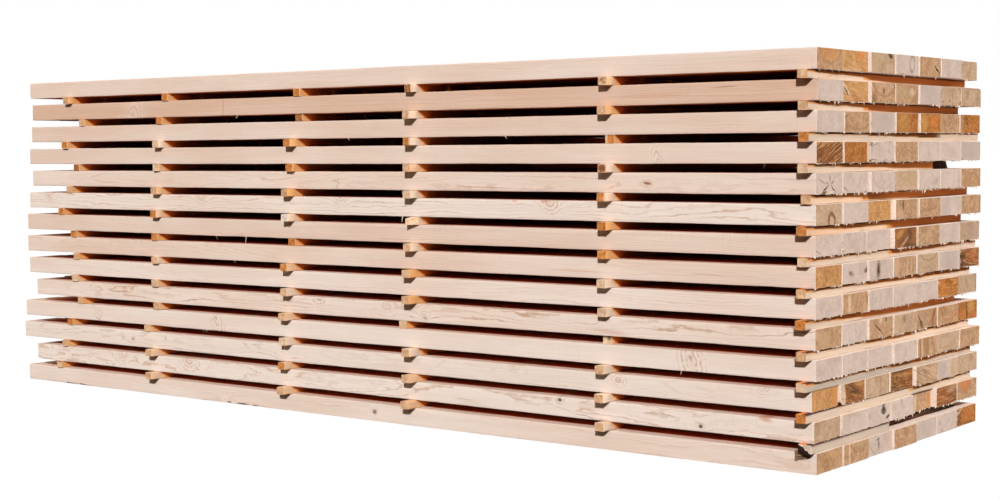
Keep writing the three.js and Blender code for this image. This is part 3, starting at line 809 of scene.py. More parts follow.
class SawMarks(WoodGroup):
    """The upright scores that the band saw leaves on a long face, in broken patches."""

    name = "saw_marks"
    inputs = ("Grain", "Seed")

    def draw(self, g: Graph, *given: Socket) -> dict[str, Socket]:
        """Draws lines across the board, a few millimetres wide and unevenly set.

        Args:
            g: the graph to draw in.
            given: the group's input sockets.

        Returns:
            The sockets that feed the group's outputs, by name.
        """
        grain, seed = given
        x, y, z = g.split(grain)
        lean = g.add(x, g.times(g.add(z, y), 0.05))
        broken = g.cloud(grain, (9.0, 40.0, 40.0))
        sharp = g.noise_line(g.add(g.times(lean, 150.0), g.times(seed, 50.0)), 2.0)
        return {"Score": g.times(g.step(sharp, 0.58, 0.74), g.step(broken, 0.52, 0.66))}


class EndSaw(WoodGroup):
    """Saw drag and loose fibre on a sawn end, as fine lines at an angle."""

    name = "end_saw"
    inputs = ("Grain", "Angle", "Seed")

    def draw(self, g: Graph, *given: Socket) -> dict[str, Socket]:
        """Draws streaks along the angle, a grit of torn fibre ends, and two sizes of cloud.

        Args:
            g: the graph to draw in.
            given: the group's input sockets.

        Returns:
            The sockets that feed the group's outputs, by name.
        """
        grain, angle, seed = given
        y, z = g.split(grain)[1:]
        cosine, sine = g.math("COSINE", angle), g.math("SINE", angle)
        along = g.add(g.times(y, cosine), g.times(z, sine))
        across = g.minus(g.times(z, cosine), g.times(y, sine))
        wavy = g.add(across, g.times(g.cloud(grain, (0.0, 30.0, 30.0)), 0.006))
        streak = g.combine(g.times(along, 20.0), g.times(wavy, 290.0), g.times(seed, 40.0))
        patch, mottle = (
            g.noise(g.combine(g.times(y, size), g.times(z, size), g.times(seed, turn)), 3.0, 0.6)
            for size, turn in ((26.0, 31.0), (115.0, 17.0))
        )
        grit = g.cloud(grain, (0.0, 420.0, 420.0), 3.0, 0.65)
        return {"Drag": g.noise(streak, 2.0, 0.55), "Grit": grit, "Patch": patch, "Mottle": mottle}


class MarkShape(WoodGroup):
    """How much of a point one mark covers.

    Place holds the point's two coordinates in the mark, whose outline is at 1, and then the
    softness of that outline, or minus the thickness of its line where only the line shows.
    """

    name = "mark_shape"
    inputs = ("Place", "Ragged")

    def draw(self, g: Graph, *given: Socket) -> dict[str, Socket]:
        """Draws a filled ellipse and its outline, and picks one.

        Args:
            g: the graph to draw in.
            given: the group's input sockets.

        Returns:
            The sockets that feed the group's outputs, by name.
        """
        u, v, profile = g.split(given[0])
        size = g.math("ABSOLUTE", profile)
        ragged = g.times(g.minus(given[1], 0.5), g.math("MINIMUM", g.times(size, 3.0), 0.7))
        off = g.add(g.length(u, v), ragged)
        filled = g.step(off, g.minus(1.0, size), g.add(1.0, size), 1.0, 0.0)
        line = g.step(g.math("ABSOLUTE", g.minus(off, 1.0)), g.times(size, 0.3), size, 1.0, 0.0)
        return {"Cover": g.spread(g.math("LESS_THAN", profile, 0.0), 0.0, 1.0, filled, line)}


class WoodGroups:
    """The shared groups, each built once."""

    def __init__(self) -> None:
        """Builds every shared group."""
        self.rings = GrowthRings()
        self.knot = BranchKnot()
        self.fibres = Fibres()
        self.saw = SawMarks()
        self.end_saw = EndSaw()
        self.mark = MarkShape()


# ---------------------------------------------------------------- finishes


@dataclass(frozen=True)
class Finish:
    """The base of every finish: makes its material and its shader."""

    name: str
    roughness: float = 0.8

    def material(self, groups: WoodGroups) -> bpy.types.Material:
        """Makes the material.

        Args:
            groups: the shared node groups.

        Returns:
            The material, with its nodes drawn.
        """
        made = bpy.data.materials.new(self.name)
        g = emptied(made)
        colour, rough, height, depth = self.paint(g, groups)
        bump = g.node("ShaderNodeBump", {"Strength": 1.0, "Distance": depth, "Height": height})
        look = {"Specular IOR Level": 0.25, "Base Color": colour, "Roughness": rough, "Normal": bump[0]}
        shader = g.node("ShaderNodeBsdfPrincipled", look)
        g.node("ShaderNodeOutputMaterial", {"Surface": shader["BSDF"]})
        return made

    def paint(self, g: Graph, groups: WoodGroups) -> Painted:
        """Draws the pattern.

        Args:
            g: the graph to draw in.
            groups: the shared node groups.

        Returns:
            The colour, the roughness, the height of the relief and its depth in metres.
        """
        raise NotImplementedError

    def marked(self, g: Graph, mark: MarkShape, kind: str, wood: Socket, grit: Socket) -> Socket:
        """Lays the piece's marks over its wood.

        Args:
            g: the graph to draw in.
            mark: the shared group.
            kind: what the marks' attributes start with.
            wood: the colour so far.
            grit: a fine noise from 0 to 1, which breaks the marks up.

        Returns:
            The colour with the marks.
        """
        broken = g.spread(grit, 0.3, 0.7, 0.82, 1.12)
        ragged = g.cloud(g.vector("grain"), (90.0, 190.0, 190.0))
        for slot in mark_slots(kind):
            cover = g.place(mark, Place=g.vector(slot + "_place"), Ragged=ragged)[0]
            share = g.times(cover, g.attribute(slot + "_share"), broken, clamp=True)
            wood = g.mix(share, wood, g.vector(slot + "_tint"))
        return wood


@dataclass(frozen=True)
class SawnFace(Finish):
    """The sawn long faces: rings, branch knots, fibres and the faint scores of the saw.

    pale and tan are the early wood's colours at warmth 0 and 1, and grey is its colour below 0.
    fresh is the wood that the weather has not bleached. It is laid where the stack shades the wood,
    so it is partly painted shade. The colour after it is painted shade, a dark red that stands for
    the dim light far inside the gaps. dark is painted shade too. late is laid over them in lines.
    knot is a branch's colour.
    """

    pale: Colour = (0.87, 0.75, 0.665, 1.0)
    tan: Colour = (0.735, 0.49, 0.36, 1.0)
    grey: Colour = (0.60, 0.50, 0.41, 1.0)
    # painted shade: a dark line under the boards at the stack's end, and battens that lie in shade
    dark: Colour = (0.055, 0.014, 0.007, 1.0)
    late: Colour = (0.58, 0.37, 0.25, 1.0)
    knot: Colour = (0.72, 0.50, 0.38, 1.0)
    fresh: Colour = (0.80, 0.20, 0.06, 1.0)
    # painted shade: a dark red that stands for the dim light far inside the gaps
    deep_shade: Colour = (0.95, 0.25, 0.045, 1.0)
    ring_width: float = 3.4 * MM
    wander: float = 0.034

    def paint(self, g: Graph, groups: WoodGroups) -> Painted:
        """Draws the long face.

        Args:
            g: the graph to draw in.
            groups: the shared node groups.

        Returns:
            The colour, the roughness, the height of the relief and its depth in metres.
        """
        grain, seed, warmth, figure = g.vector("grain"), *map(g.attribute, ("seed", "warmth", "figure"))
        knots = [g.place(groups.knot, Grain=grain, Knot=g.vector(slot)) for slot in KNOTS]
        bend = reduce(g.add, (knot["Bend"] for knot in knots))
        rings = g.place(groups.rings, Grain=grain, Ring_Width=self.ring_width, Wander=self.wander, Bend=bend)
        fibres = g.place(groups.fibres, Grain=grain)
        score = g.place(groups.saw, Grain=grain, Seed=seed)[0]
        fine, coarse, late = fibres["Fine"], fibres["Coarse"], rings["Late"]

        drift = g.spread(fibres["Drift"], 0.3, 0.7, -0.2, 0.2)
        base = g.mix(g.math("ADD", warmth, drift, clamp=True), self.pale, self.tan)
        base = g.mix(g.times(warmth, -4.0, clamp=True), base, self.grey)
        # painted shade as well as unweathered wood: the fresh colour and then the dark red go where the
        # stack shades the wood
        inner = g.attribute("inner")
        base = g.mix(g.times(inner, 1.0, clamp=True), base, self.fresh)
        base = g.mix(g.math("SUBTRACT", inner, 1.0, clamp=True), base, self.deep_shade)
        # painted shade, laid with the dark colour
        base = g.mix(g.attribute("soil"), base, self.dark)
        uneven = g.times(g.spread(rings["Year"], 0.3, 0.7, 0.0, 1.15), g.step(coarse, 0.35, 0.6, 0.15, 1.1))
        wood = g.mix(g.times(g.times(late, figure), uneven, clamp=True), base, self.late)
        shades = (g.spread(fine, 0.25, 0.75, 0.93, 1.05), g.spread(coarse, 0.25, 0.75, 0.96, 1.035))
        wood = g.shaded(wood, g.times(*shades, g.spread(score, 0.0, 1.0, 1.0, 0.945)))
        branch = (("Halo", 0.6, self.pale), ("Core", 0.25, self.knot), ("Rim", 0.75, self.late))
        for part, share, colour in branch:
            wood = g.mix(g.times(g.most(knot[part] for knot in knots), share), wood, colour)
        wood = self.marked(g, groups.mark, "face_mark", wood, fine)

        rough = g.spread(fine, 0.2, 0.8, self.roughness - 0.06, self.roughness + 0.1)
        height = g.add(g.times(fine, 0.5), g.times(coarse, 0.3))
        return wood, rough, g.add(g.add(height, g.times(late, 0.25)), g.times(score, -0.3)), RELIEF


@dataclass(frozen=True)
class SawnEnd(Finish):
    """A sawn end: rings round the pith, a darker heart, saw drag, marks and a torn pale rim.

    wood and late are the early and the late wood, heart is the darker core, drag the pale
    lines that the saw pulls up. contrast is how clearly the rings show, and speckle how grainy
    the surface is.
    """

    wood: Colour = (0.65, 0.5, 0.41, 1.0)
    late: Colour = (0.5, 0.36, 0.26, 1.0)
    heart: Colour = (0.5, 0.25, 0.1, 1.0)
    drag: Colour = (0.75, 0.6, 0.5, 1.0)
    contrast: float = 0.3
    speckle: float = 0.1
    half_size: tuple[float, float] = (0.0625, 0.0235)
    rim: float = 1.2 * MM
    edge: Colour = (0.88, 0.72, 0.60, 1.0)
    ring_width: float = 3.6 * MM
    wander: float = 0.014

    def paint(self, g: Graph, groups: WoodGroups) -> Painted:
        """Draws the sawn end.

        Args:
            g: the graph to draw in.
            groups: the shared node groups.

        Returns:
            The colour, the roughness, the height of the relief and its depth in metres.
        """
        grain, seed = g.vector("grain"), g.attribute("seed")
        angle, streak = g.split(g.vector("end_figure"))[:2]
        rings = g.place(groups.rings, Grain=grain, Ring_Width=self.ring_width, Wander=self.wander, Bend=0.0)
        drag, grit, patch, mottle = g.place(groups.end_saw, Grain=grain, Angle=angle, Seed=seed)

        late = g.times(rings["Late"], g.spread(rings["Year"], 0.3, 0.7, 0.2, 1.4))
        wood = g.mix(g.times(late, self.contrast, clamp=True), self.wood, self.late)
        ragged = g.times(g.minus(patch, 0.5), 0.02)
        wood = g.laid(wood, g.minus(ragged, rings["Radius"]), -0.003, 0.004, 0.55, self.heart)
        wood = g.laid(wood, patch, 0.42, 0.72, 0.6, self.late)
        wood = g.laid(wood, patch, 0.45, 0.25, 0.25, self.drag)
        wood = g.laid(wood, mottle, 0.5, 0.66, 0.1 + self.speckle, self.late)
        wood = g.laid(wood, mottle, 0.46, 0.32, self.speckle, self.drag)
        wood = self.marked(g, groups.mark, "end_mark", wood, grit)
        strong = g.times(streak, 0.75, clamp=True)
        wood = g.laid(wood, drag, 0.45, 0.3, g.times(strong, 0.7), self.heart)
        wood = g.laid(wood, drag, 0.5, 0.66, strong, self.drag)
        wood = g.laid(wood, grit, 0.5, 0.7, self.speckle, self.drag)
        wood = g.laid(wood, grit, 0.42, 0.3, self.speckle, self.heart)
        wood = g.mix(g.times(self.torn_rim(g, grit), 0.7), wood, self.edge)
        wood = g.shaded(wood, g.spread(g.noise_line(g.times(seed, 57.0)), 0.3, 0.7, 0.96, 1.04))

        rough = g.spread(grit, 0.25, 0.75, self.roughness, self.roughness + 0.12)
        height = g.add(g.times(grit, 0.8), g.add(g.times(drag, 0.5), g.times(late, 0.2)))
        return wood, rough, height, RELIEF

    def torn_rim(self, g: Graph, grit: Socket) -> Socket:
        """Draws the ragged pale rim that the saw left, widest along the bottom.

        Args:
            g: the graph to draw in.
            grit: a fine noise from 0 to 1.

        Returns:
            1 in the rim and 0 elsewhere.
        """
        across, up = g.split(g.vector("section"))[:2]
        beside = g.minus(self.half_size[0], g.math("ABSOLUTE", across))
        below = g.add(up, self.half_size[1])
        above = g.times(g.minus(self.half_size[1], up), 1.7)
        edge = g.math("MINIMUM", g.math("MINIMUM", beside, below), above)
        wide = g.cloud(g.vector("grain"), (0.0, 120.0, 120.0))
        edge = g.minus(edge, g.spread(wide, 0.3, 0.7, -0.6 * self.rim, 0.9 * self.rim))
        edge = g.minus(edge, g.spread(grit, 0.3, 0.7, -0.4 * self.rim, 0.4 * self.rim))
        return g.step(edge, 0.5 * self.rim, self.rim, 1.0, 0.0)


@dataclass(frozen=True)
class FlatWood(Finish):
    """A small surface of one kind, such as torn fibre, a split's walls or bark."""

    light: Colour = (0.9, 0.75, 0.6, 1.0)
    dark: Colour = (0.7, 0.5, 0.35, 1.0)
    scale: tuple[float, float, float] = (60.0, 400.0, 400.0)
    depth: float = 0.4 * MM

    def paint(self, g: Graph, groups: WoodGroups) -> Painted:
        """Draws two colours in drawn-out patches.

        Args:
            g: the graph to draw in.
            groups: the shared node groups.

        Returns:
            The colour, the roughness, the height of the relief and its depth in metres.
        """
        patches = g.cloud(g.vector("grain"), self.scale, 3.0, 0.6)
        colour = g.mix(g.step(patches, 0.35, 0.65), self.dark, self.light)
        rough = g.spread(patches, 0.2, 0.8, self.roughness - 0.05, self.roughness + 0.1)
        return colour, rough, patches, self.depth


# A tone's colours for early wood, late wood, heart and drag, then its contrast and its speckle.
END_LOOKS = {
    "PALE": (0.75, 0.59, 0.505, 0.56, 0.42, 0.335, 0.42, 0.26, 0.16, 0.84, 0.72, 0.63, 0.55, 0.25),
    "BEIGE": (0.66, 0.45, 0.29, 0.40, 0.235, 0.13, 0.32, 0.15, 0.06, 0.82, 0.63, 0.48, 0.9, 0.37),
    "TAN": (0.64, 0.385, 0.215, 0.34, 0.16, 0.07, 0.25, 0.09, 0.028, 0.79, 0.56, 0.37, 1.05, 0.46),
    "AMBER": (0.72, 0.37, 0.14, 0.41, 0.15, 0.04, 0.32, 0.09, 0.02, 0.84, 0.54, 0.28, 1.05, 0.48),
    "ORANGE": (0.54, 0.20, 0.042, 0.25, 0.06, 0.01, 0.18, 0.038, 0.005, 0.70, 0.34, 0.11, 1.1, 0.58),
    "BROWN": (0.345, 0.11, 0.03, 0.11, 0.028, 0.006, 0.07, 0.017, 0.004, 0.62, 0.33, 0.14, 1.1, 0.58),
}


class Finishes:
    """Every material of the stack, in the order that Surface gives."""

    def __init__(self, groups: WoodGroups) -> None:
        """Makes the boards' and the battens' lists of materials.

        Args:
            groups: the shared node groups.
        """
        broad, close, rough = (30.0, 160.0, 160.0), (60.0, 160.0, 160.0), 1.5 * MM
        common = (
            FlatWood("inner_bark", 0.85, (0.36, 0.21, 0.12, 1), (0.12, 0.07, 0.045, 1), broad, rough),
            FlatWood("split_wall", 0.85, (0.20, 0.095, 0.045, 1), (0.09, 0.04, 0.02, 1)),
            FlatWood("torn_fibre", 0.85, (0.92, 0.79, 0.67, 1), (0.74, 0.55, 0.40, 1)),
            FlatWood("old_bark", 0.9, (0.035, 0.01, 0.01, 1), (0.012, 0.004, 0.004, 1), close, rough),
        )
        batten = SawnFace(
            "sawn_batten",
            pale=(0.90, 0.69, 0.52, 1.0),
            tan=(0.86, 0.44, 0.17, 1.0),
            late=(0.62, 0.33, 0.13, 1.0),
            fresh=(0.90, 0.38, 0.11, 1.0),
            ring_width=3.0 * MM,
        )
        shared = [finish.material(groups) for finish in common]
        self.boards = [SawnFace("sawn_board").material(groups), *shared, *self.ends(groups, "board", 1.0)]
        small = {"half_size": (0.0125, 0.01), "rim": 0.6 * MM, "ring_width": 2.6 * MM}
        self.battens = [batten.material(groups), *shared, *self.ends(groups, "batten", 1.25, **small)]

    def ends(self, groups: WoodGroups, piece: str, bright: float, **sizes: Any) -> list[bpy.types.Material]:
        """Makes a sawn end for each tone.

        Args:
            groups: the shared node groups.
            piece: what the ends belong to, boards or battens.
            bright: how much brighter they are than END_LOOKS.
            sizes: the sizes that are not a board's.

        Returns:
            The materials, in the order of END_LOOKS.
        """
        made = []
        for tone, look in END_LOOKS.items():
            colours = [(*(min(0.9, v * bright) for v in look[k : k + 3]), 1.0) for k in (0, 3, 6, 9)]
            finish = SawnEnd(f"{piece}_end_{tone.lower()}", 0.8, *colours, *look[12:], **sizes)
            made.append(finish.material(groups))
        return made


# ---------------------------------------------------------------- meshes


class WoodMesh:
    """Gathers closed shells of wood, with what their finishes read, and joins them in one mesh."""

    SLOTS = mark_slots("end_mark") + mark_slots("face_mark")
    VALUES = ("seed", "warmth", "figure", "inner", "soil", *(slot + "_share" for slot in SLOTS))
    VECTORS = (
        "grain",
        "section",
        "end_figure",
        *KNOTS,
        *(slot + "_place" for slot in SLOTS),
        *(slot + "_tint" for slot in SLOTS),
    )

    def __init__(self) -> None:
        """Starts with nothing."""
        self.count = 0
        self.points: list[Array] = []
        self.triangles: list[Array] = []
        self.surfaces: list[Array] = []
        self.values: dict[str, list[Array]] = {name: [] for name in self.VALUES + self.VECTORS}

    def add(self, points: Array, triangles: Array, surfaces: Array, values: dict[str, Any]) -> None:
        """Adds a shell.

        Args:
            points: its points, in metres.
            triangles: three point numbers for each triangle.
            surfaces: the value of the Surface of each triangle.
            values: what its finishes read, one value for all points or one for each.
        """
        self.points.append(points)
        self.triangles.append(triangles + self.count)
        self.surfaces.append(surfaces)
        self.count += len(points)
        for name, rows in self.values.items():
            shape = (len(points), 3) if name in self.VECTORS else (len(points),)
            rows.append(np.broadcast_to(np.asarray(values.get(name, 0.0), float), shape))

    def build(self, name: str, materials: list[bpy.types.Material]) -> bpy.types.Object:
        """Makes the piece.

        Args:
            name: the piece's name.
            materials: the materials that Surface values point to.

        Returns:
            The new object, linked to the scene.
        """
        low, high = (np.array(corner) for corner in FRAME_BOX)
        points = np.clip(np.concatenate(self.points), low, high)
        triangles = np.concatenate(self.triangles).astype(np.int32)
        mesh = bpy.data.meshes.new(name)
        mesh.vertices.add(len(points))
        mesh.vertices.foreach_set("co", points.astype(np.float32).ravel())
        mesh.loops.add(triangles.size)
        mesh.loops.foreach_set("vertex_index", triangles.ravel())
        mesh.polygons.add(len(triangles))
        mesh.polygons.foreach_set("loop_start", np.arange(0, triangles.size, 3, dtype=np.int32))
        mesh.polygons.foreach_set("material_index", np.concatenate(self.surfaces).astype(np.int32))
        mesh.update(calc_edges=True)
        for key, rows in self.values.items():
            kind, part = ("FLOAT_VECTOR", "vector") if key in self.VECTORS else ("FLOAT", "value")
            made = mesh.attributes.new(key, kind, "POINT")
            made.data.foreach_set(part, np.concatenate(rows).astype(np.float32).ravel())
        mesh.validate()
        mesh.set_sharp_from_angle(angle=math.radians(SHARP_EDGE))
        for material in materials:
            mesh.materials.append(material)
        piece = bpy.data.objects.new(name, mesh)
        bpy.context.scene.collection.objects.link(piece)
        return piece


class Section:
    """An eased rectangle as a ring of points, anticlockwise as seen from its sawn end.

    The ring's sides are, in order, the bottom, the far side, the top and the near side.
    """

    ARC_STEPS = 3

    def __init__(self, width: float, height: float, side_points: tuple[int, int, int, int]) -> None:
        """Lays out the ring.

        Args:
            width: the section's width.
            height: its height.
            side_points: how many points lie between the corners of each side.
        """
        self.half = np.array([width / 2, height / 2])
        corners = np.array([(-1, -1), (1, -1), (1, 1), (-1, 1)], float)
        base, pull, outward, side = [], [], [], []
        for c, corner in enumerate(corners):
            ahead = (c + 1) % 4
            for k in range(self.ARC_STEPS + side_points[c] + 1):
                turn = math.pi * (1 + c / 2) + math.pi / 2 * min(k, self.ARC_STEPS) / self.ARC_STEPS
                share = max(k - self.ARC_STEPS, 0) / (side_points[c] + 1)
                direction = np.array([math.cos(turn), math.sin(turn)])
                row = np.zeros((4, 2))
                row[c] = (direction - corner) * (1 - share)
                row[ahead] = (direction - corners[ahead]) * share
                base.append((corner * (1 - share) + corners[ahead] * share) * self.half)
                pull.append(row)
                outward.append(direction)
                side.append(c if k > self.ARC_STEPS / 2 else (c - 1) % 4)
        self.base, self.pull = np.array(base), np.array(pull)
        self.outward, self.side = np.array(outward), np.array(side)
        self.count = len(base)

    def rings(self, arris: Array) -> Array:
        """Returns a ring for each row of arris, which holds the easing of the four corners."""
        return self.base + np.einsum("sc,kcd->skd", arris, self.pull)


def loft(first: int, stations: int, ring: int) -> Array:
    """Joins rings of points.

    Args:
        first: the number of the first ring's first point.
        stations: how many rings there are.
        ring: how many points each has.

    Returns:
        The triangles between the rings.
    """
    station, k = np.meshgrid(np.arange(stations - 1), np.arange(ring), indexing="ij")
    ahead = (k + 1) % ring
    a, b = first + station * ring + k, first + station * ring + ahead
    c, d = b + ring, a + ring
    return np.concatenate([np.stack([a, b, c], -1).reshape(-1, 3), np.stack([a, c, d], -1).reshape(-1, 3)])


def inside(points: Array, outline: Array) -> Array:
    """Finds the points that lie inside an outline.

    Args:
        points: the points.
        outline: a closed outline.

    Returns:
        True for each point inside it.
    """
    ahead = np.roll(outline, -1, axis=0)
    crosses = (outline[:, 1] > points[:, None, 1]) != (ahead[:, 1] > points[:, None, 1])
    rise = np.where(ahead[:, 1] == outline[:, 1], 1e-12, ahead[:, 1] - outline[:, 1])
    at = outline[:, 0] + (points[:, None, 1] - outline[:, 1]) * (ahead[:, 0] - outline[:, 0]) / rise
    return (crosses & (points[:, None, 0] < at)).sum(1) % 2 == 1


def nearest(points: Array, others: Array) -> Array:
    """Returns each point's distance to the nearest of the others."""
    return np.sqrt(((points[:, None] - others[None]) ** 2).sum(-1)).min(1)


def count_of(parts: list[Part]) -> int:
    """Returns how many points some parts of a shell have."""
    return sum(len(part[0]) for part in parts)


@dataclass
class Cap:
    """A flat sawn face in its own plane, with holes for splits."""

    outline: Array
    spacing: float
    rng: np.random.Generator
    loops: list[Array] = field(default_factory=list)

    def fill(self) -> tuple[Array, Array]:
        """Meshes the face.

        Returns:
            All points, the outline's first and then each loop's, and the triangles.
        """
        low, high = self.outline.min(0), self.outline.max(0)
        rows = np.arange(low[1] + self.spacing * 0.6, high[1], self.spacing * 0.87)
        grid = [
            (u, v)
            for i, v in enumerate(rows)
            for u in np.arange(low[0] + self.spacing * (0.6 if i % 2 else 1.1), high[0], self.spacing)
        ]
        jitter = self.rng.uniform(-0.18, 0.18, (len(grid), 2)) * self.spacing
        scatter = np.array(grid).reshape(-1, 2) + jitter
        keep = inside(scatter, self.outline) & (nearest(scatter, self.outline) > 0.55 * self.spacing)
        for loop in self.loops:
            keep &= ~inside(scatter, loop) & (nearest(scatter, loop) > 0.4 * self.spacing)
        rings = [self.outline, *self.loops]
        points = np.concatenate([*rings, scatter[keep]])
        edges, start = [], 0
        for ring in rings:
            edges += [(start + i, start + (i + 1) % len(ring)) for i in range(len(ring))]
            start += len(ring)
        found = delaunay_2d_cdt([Vector(p) for p in points], edges, [], 1, 1e-7)
        origin = np.array([source[0] if source else -1 for source in found[3]])
        triangles = origin[np.array([face for face in found[2] if len(face) == 3])]
        triangles = triangles[(triangles >= 0).all(1)]
        a, b, c = (points[triangles[:, i]] for i in range(3))
        turn = (b[:, 0] - a[:, 0]) * (c[:, 1] - a[:, 1]) - (b[:, 1] - a[:, 1]) * (c[:, 0] - a[:, 0])
        triangles[turn < 0] = triangles[turn < 0][:, ::-1]
        for loop in self.loops:
            triangles = triangles[~inside(points[triangles].mean(1), loop)]
        return points, triangles

    def join(self, first: int, start: int) -> tuple[Array, Array]:
        """Meshes the face as a part of a shell that has its outline already.

        Args:
            first: the number of the outline's first point.
            start: the number of the first new point.

        Returns:
            The new points, and the triangles in the shell's numbers.
        """
        points, triangles = self.fill()
        count = len(self.outline)
        numbers = np.concatenate([first + np.arange(count), start + np.arange(len(points) - count)])
        return points[count:], numbers[triangles]


def tilted(points: Array, degrees: float) -> Array:
    """Returns points of a section turned anticlockwise."""
    turn = math.radians(degrees)
    return points @ np.array([(math.cos(turn), math.sin(turn)), (-math.sin(turn), math.cos(turn))])


def eased(share: Array) -> Array:
    """Returns a smooth passage from 0, where share is 0 or less, to 1, where it is 1 or more."""
    kept = np.clip(share, 0, 1)
    return kept * kept * (3 - 2 * kept)


def smooth_wave(rng: np.random.Generator, along: Array, lengths: tuple[float, ...]) -> Array:
    """Returns a slow uneven wave from about -1 to 1 along a line."""
    waves = [np.sin(2 * math.pi * (along / length + rng.random())) for length in lengths]
    return sum(waves) / math.sqrt(len(lengths))


def mark_values(kind: str, rows: list[tuple], flat: Array) -> dict[str, Any]:
    """Works out what the marked finishes read.

    Args:
        kind: what the attributes' names start with.
        rows: the marks that the piece carries.
        flat: the piece's points in the marks' plane, across and up, in metres.

    Returns:
        The values by attribute name.
    """
    found = {slot + "_place": (9.0, 9.0, 0.1) for slot in mark_slots(kind)}
    for slot, mark in zip(mark_slots(kind), (Mark(*row) for row in rows)):
        half = np.array([mark.wide, mark.high]) / 2 * MM
        own = tilted(flat - np.array([mark.across, mark.up]) * MM, -mark.lean) / half
        profile = -mark.line * MM / half.mean() if mark.line else mark.soft / 100
        found[slot + "_place"] = np.concatenate([own, np.full((len(own), 1), profile)], 1)
        found[slot + "_tint"], found[slot + "_share"] = mark.tint.value, mark.share / 100
    return found


# ---------------------------------------------------------------- boards


def two_digits(number: int) -> str:
    """Returns a layer's or course's number as its nodes write it."""
    return f"{number:02d}"


def node_points(node: str) -> Array:
    """Reads a CAD node.

    Args:
        node: the node's name.

    Returns:
        Its points, in metres.
    """
    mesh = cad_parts[node].data
    points = np.zeros(len(mesh.vertices) * 3, np.float32)
    mesh.vertices.foreach_get("co", points)
    return points.reshape(-1, 3).astype(float)


@dataclass(frozen=True)
class StackSizes:
    """Sizes that the pieces share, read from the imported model."""

    board_width: float
    board_thickness: float
    batten_thickness: float
    batten_width: float
    near_side: float

    @staticmethod
    def measure() -> "StackSizes":
        """Measures the top layer's boards and a batten in the middle.

        Returns:
            The sizes.
        """
        low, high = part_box(f"board_layer_{two_digits(LAYERS)}")
        batten_low, batten_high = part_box("sticker_02_middle")
        width = (high.y - low.y - (BOARDS_PER_LAYER - 1) * BOARD_GAP) / BOARDS_PER_LAYER
        return StackSizes(
            board_width=width,
            board_thickness=high.z - low.z,
            batten_thickness=batten_high.z - batten_low.z,
            batten_width=25 * MM,
            near_side=low.y,
        )

    @property
    def pitch(self) -> float:
        """The height from one layer to the next."""
        return self.board_thickness + self.batten_thickness

    @property
    def across(self) -> float:
        """How wide a layer is."""
        return BOARDS_PER_LAYER * (self.board_width + BOARD_GAP) - BOARD_GAP

    def board_y(self, board: int) -> float:
        """Returns the middle of a board across the stack."""
        return self.near_side + self.board_width / 2 + (board - 1) * (self.board_width + BOARD_GAP)


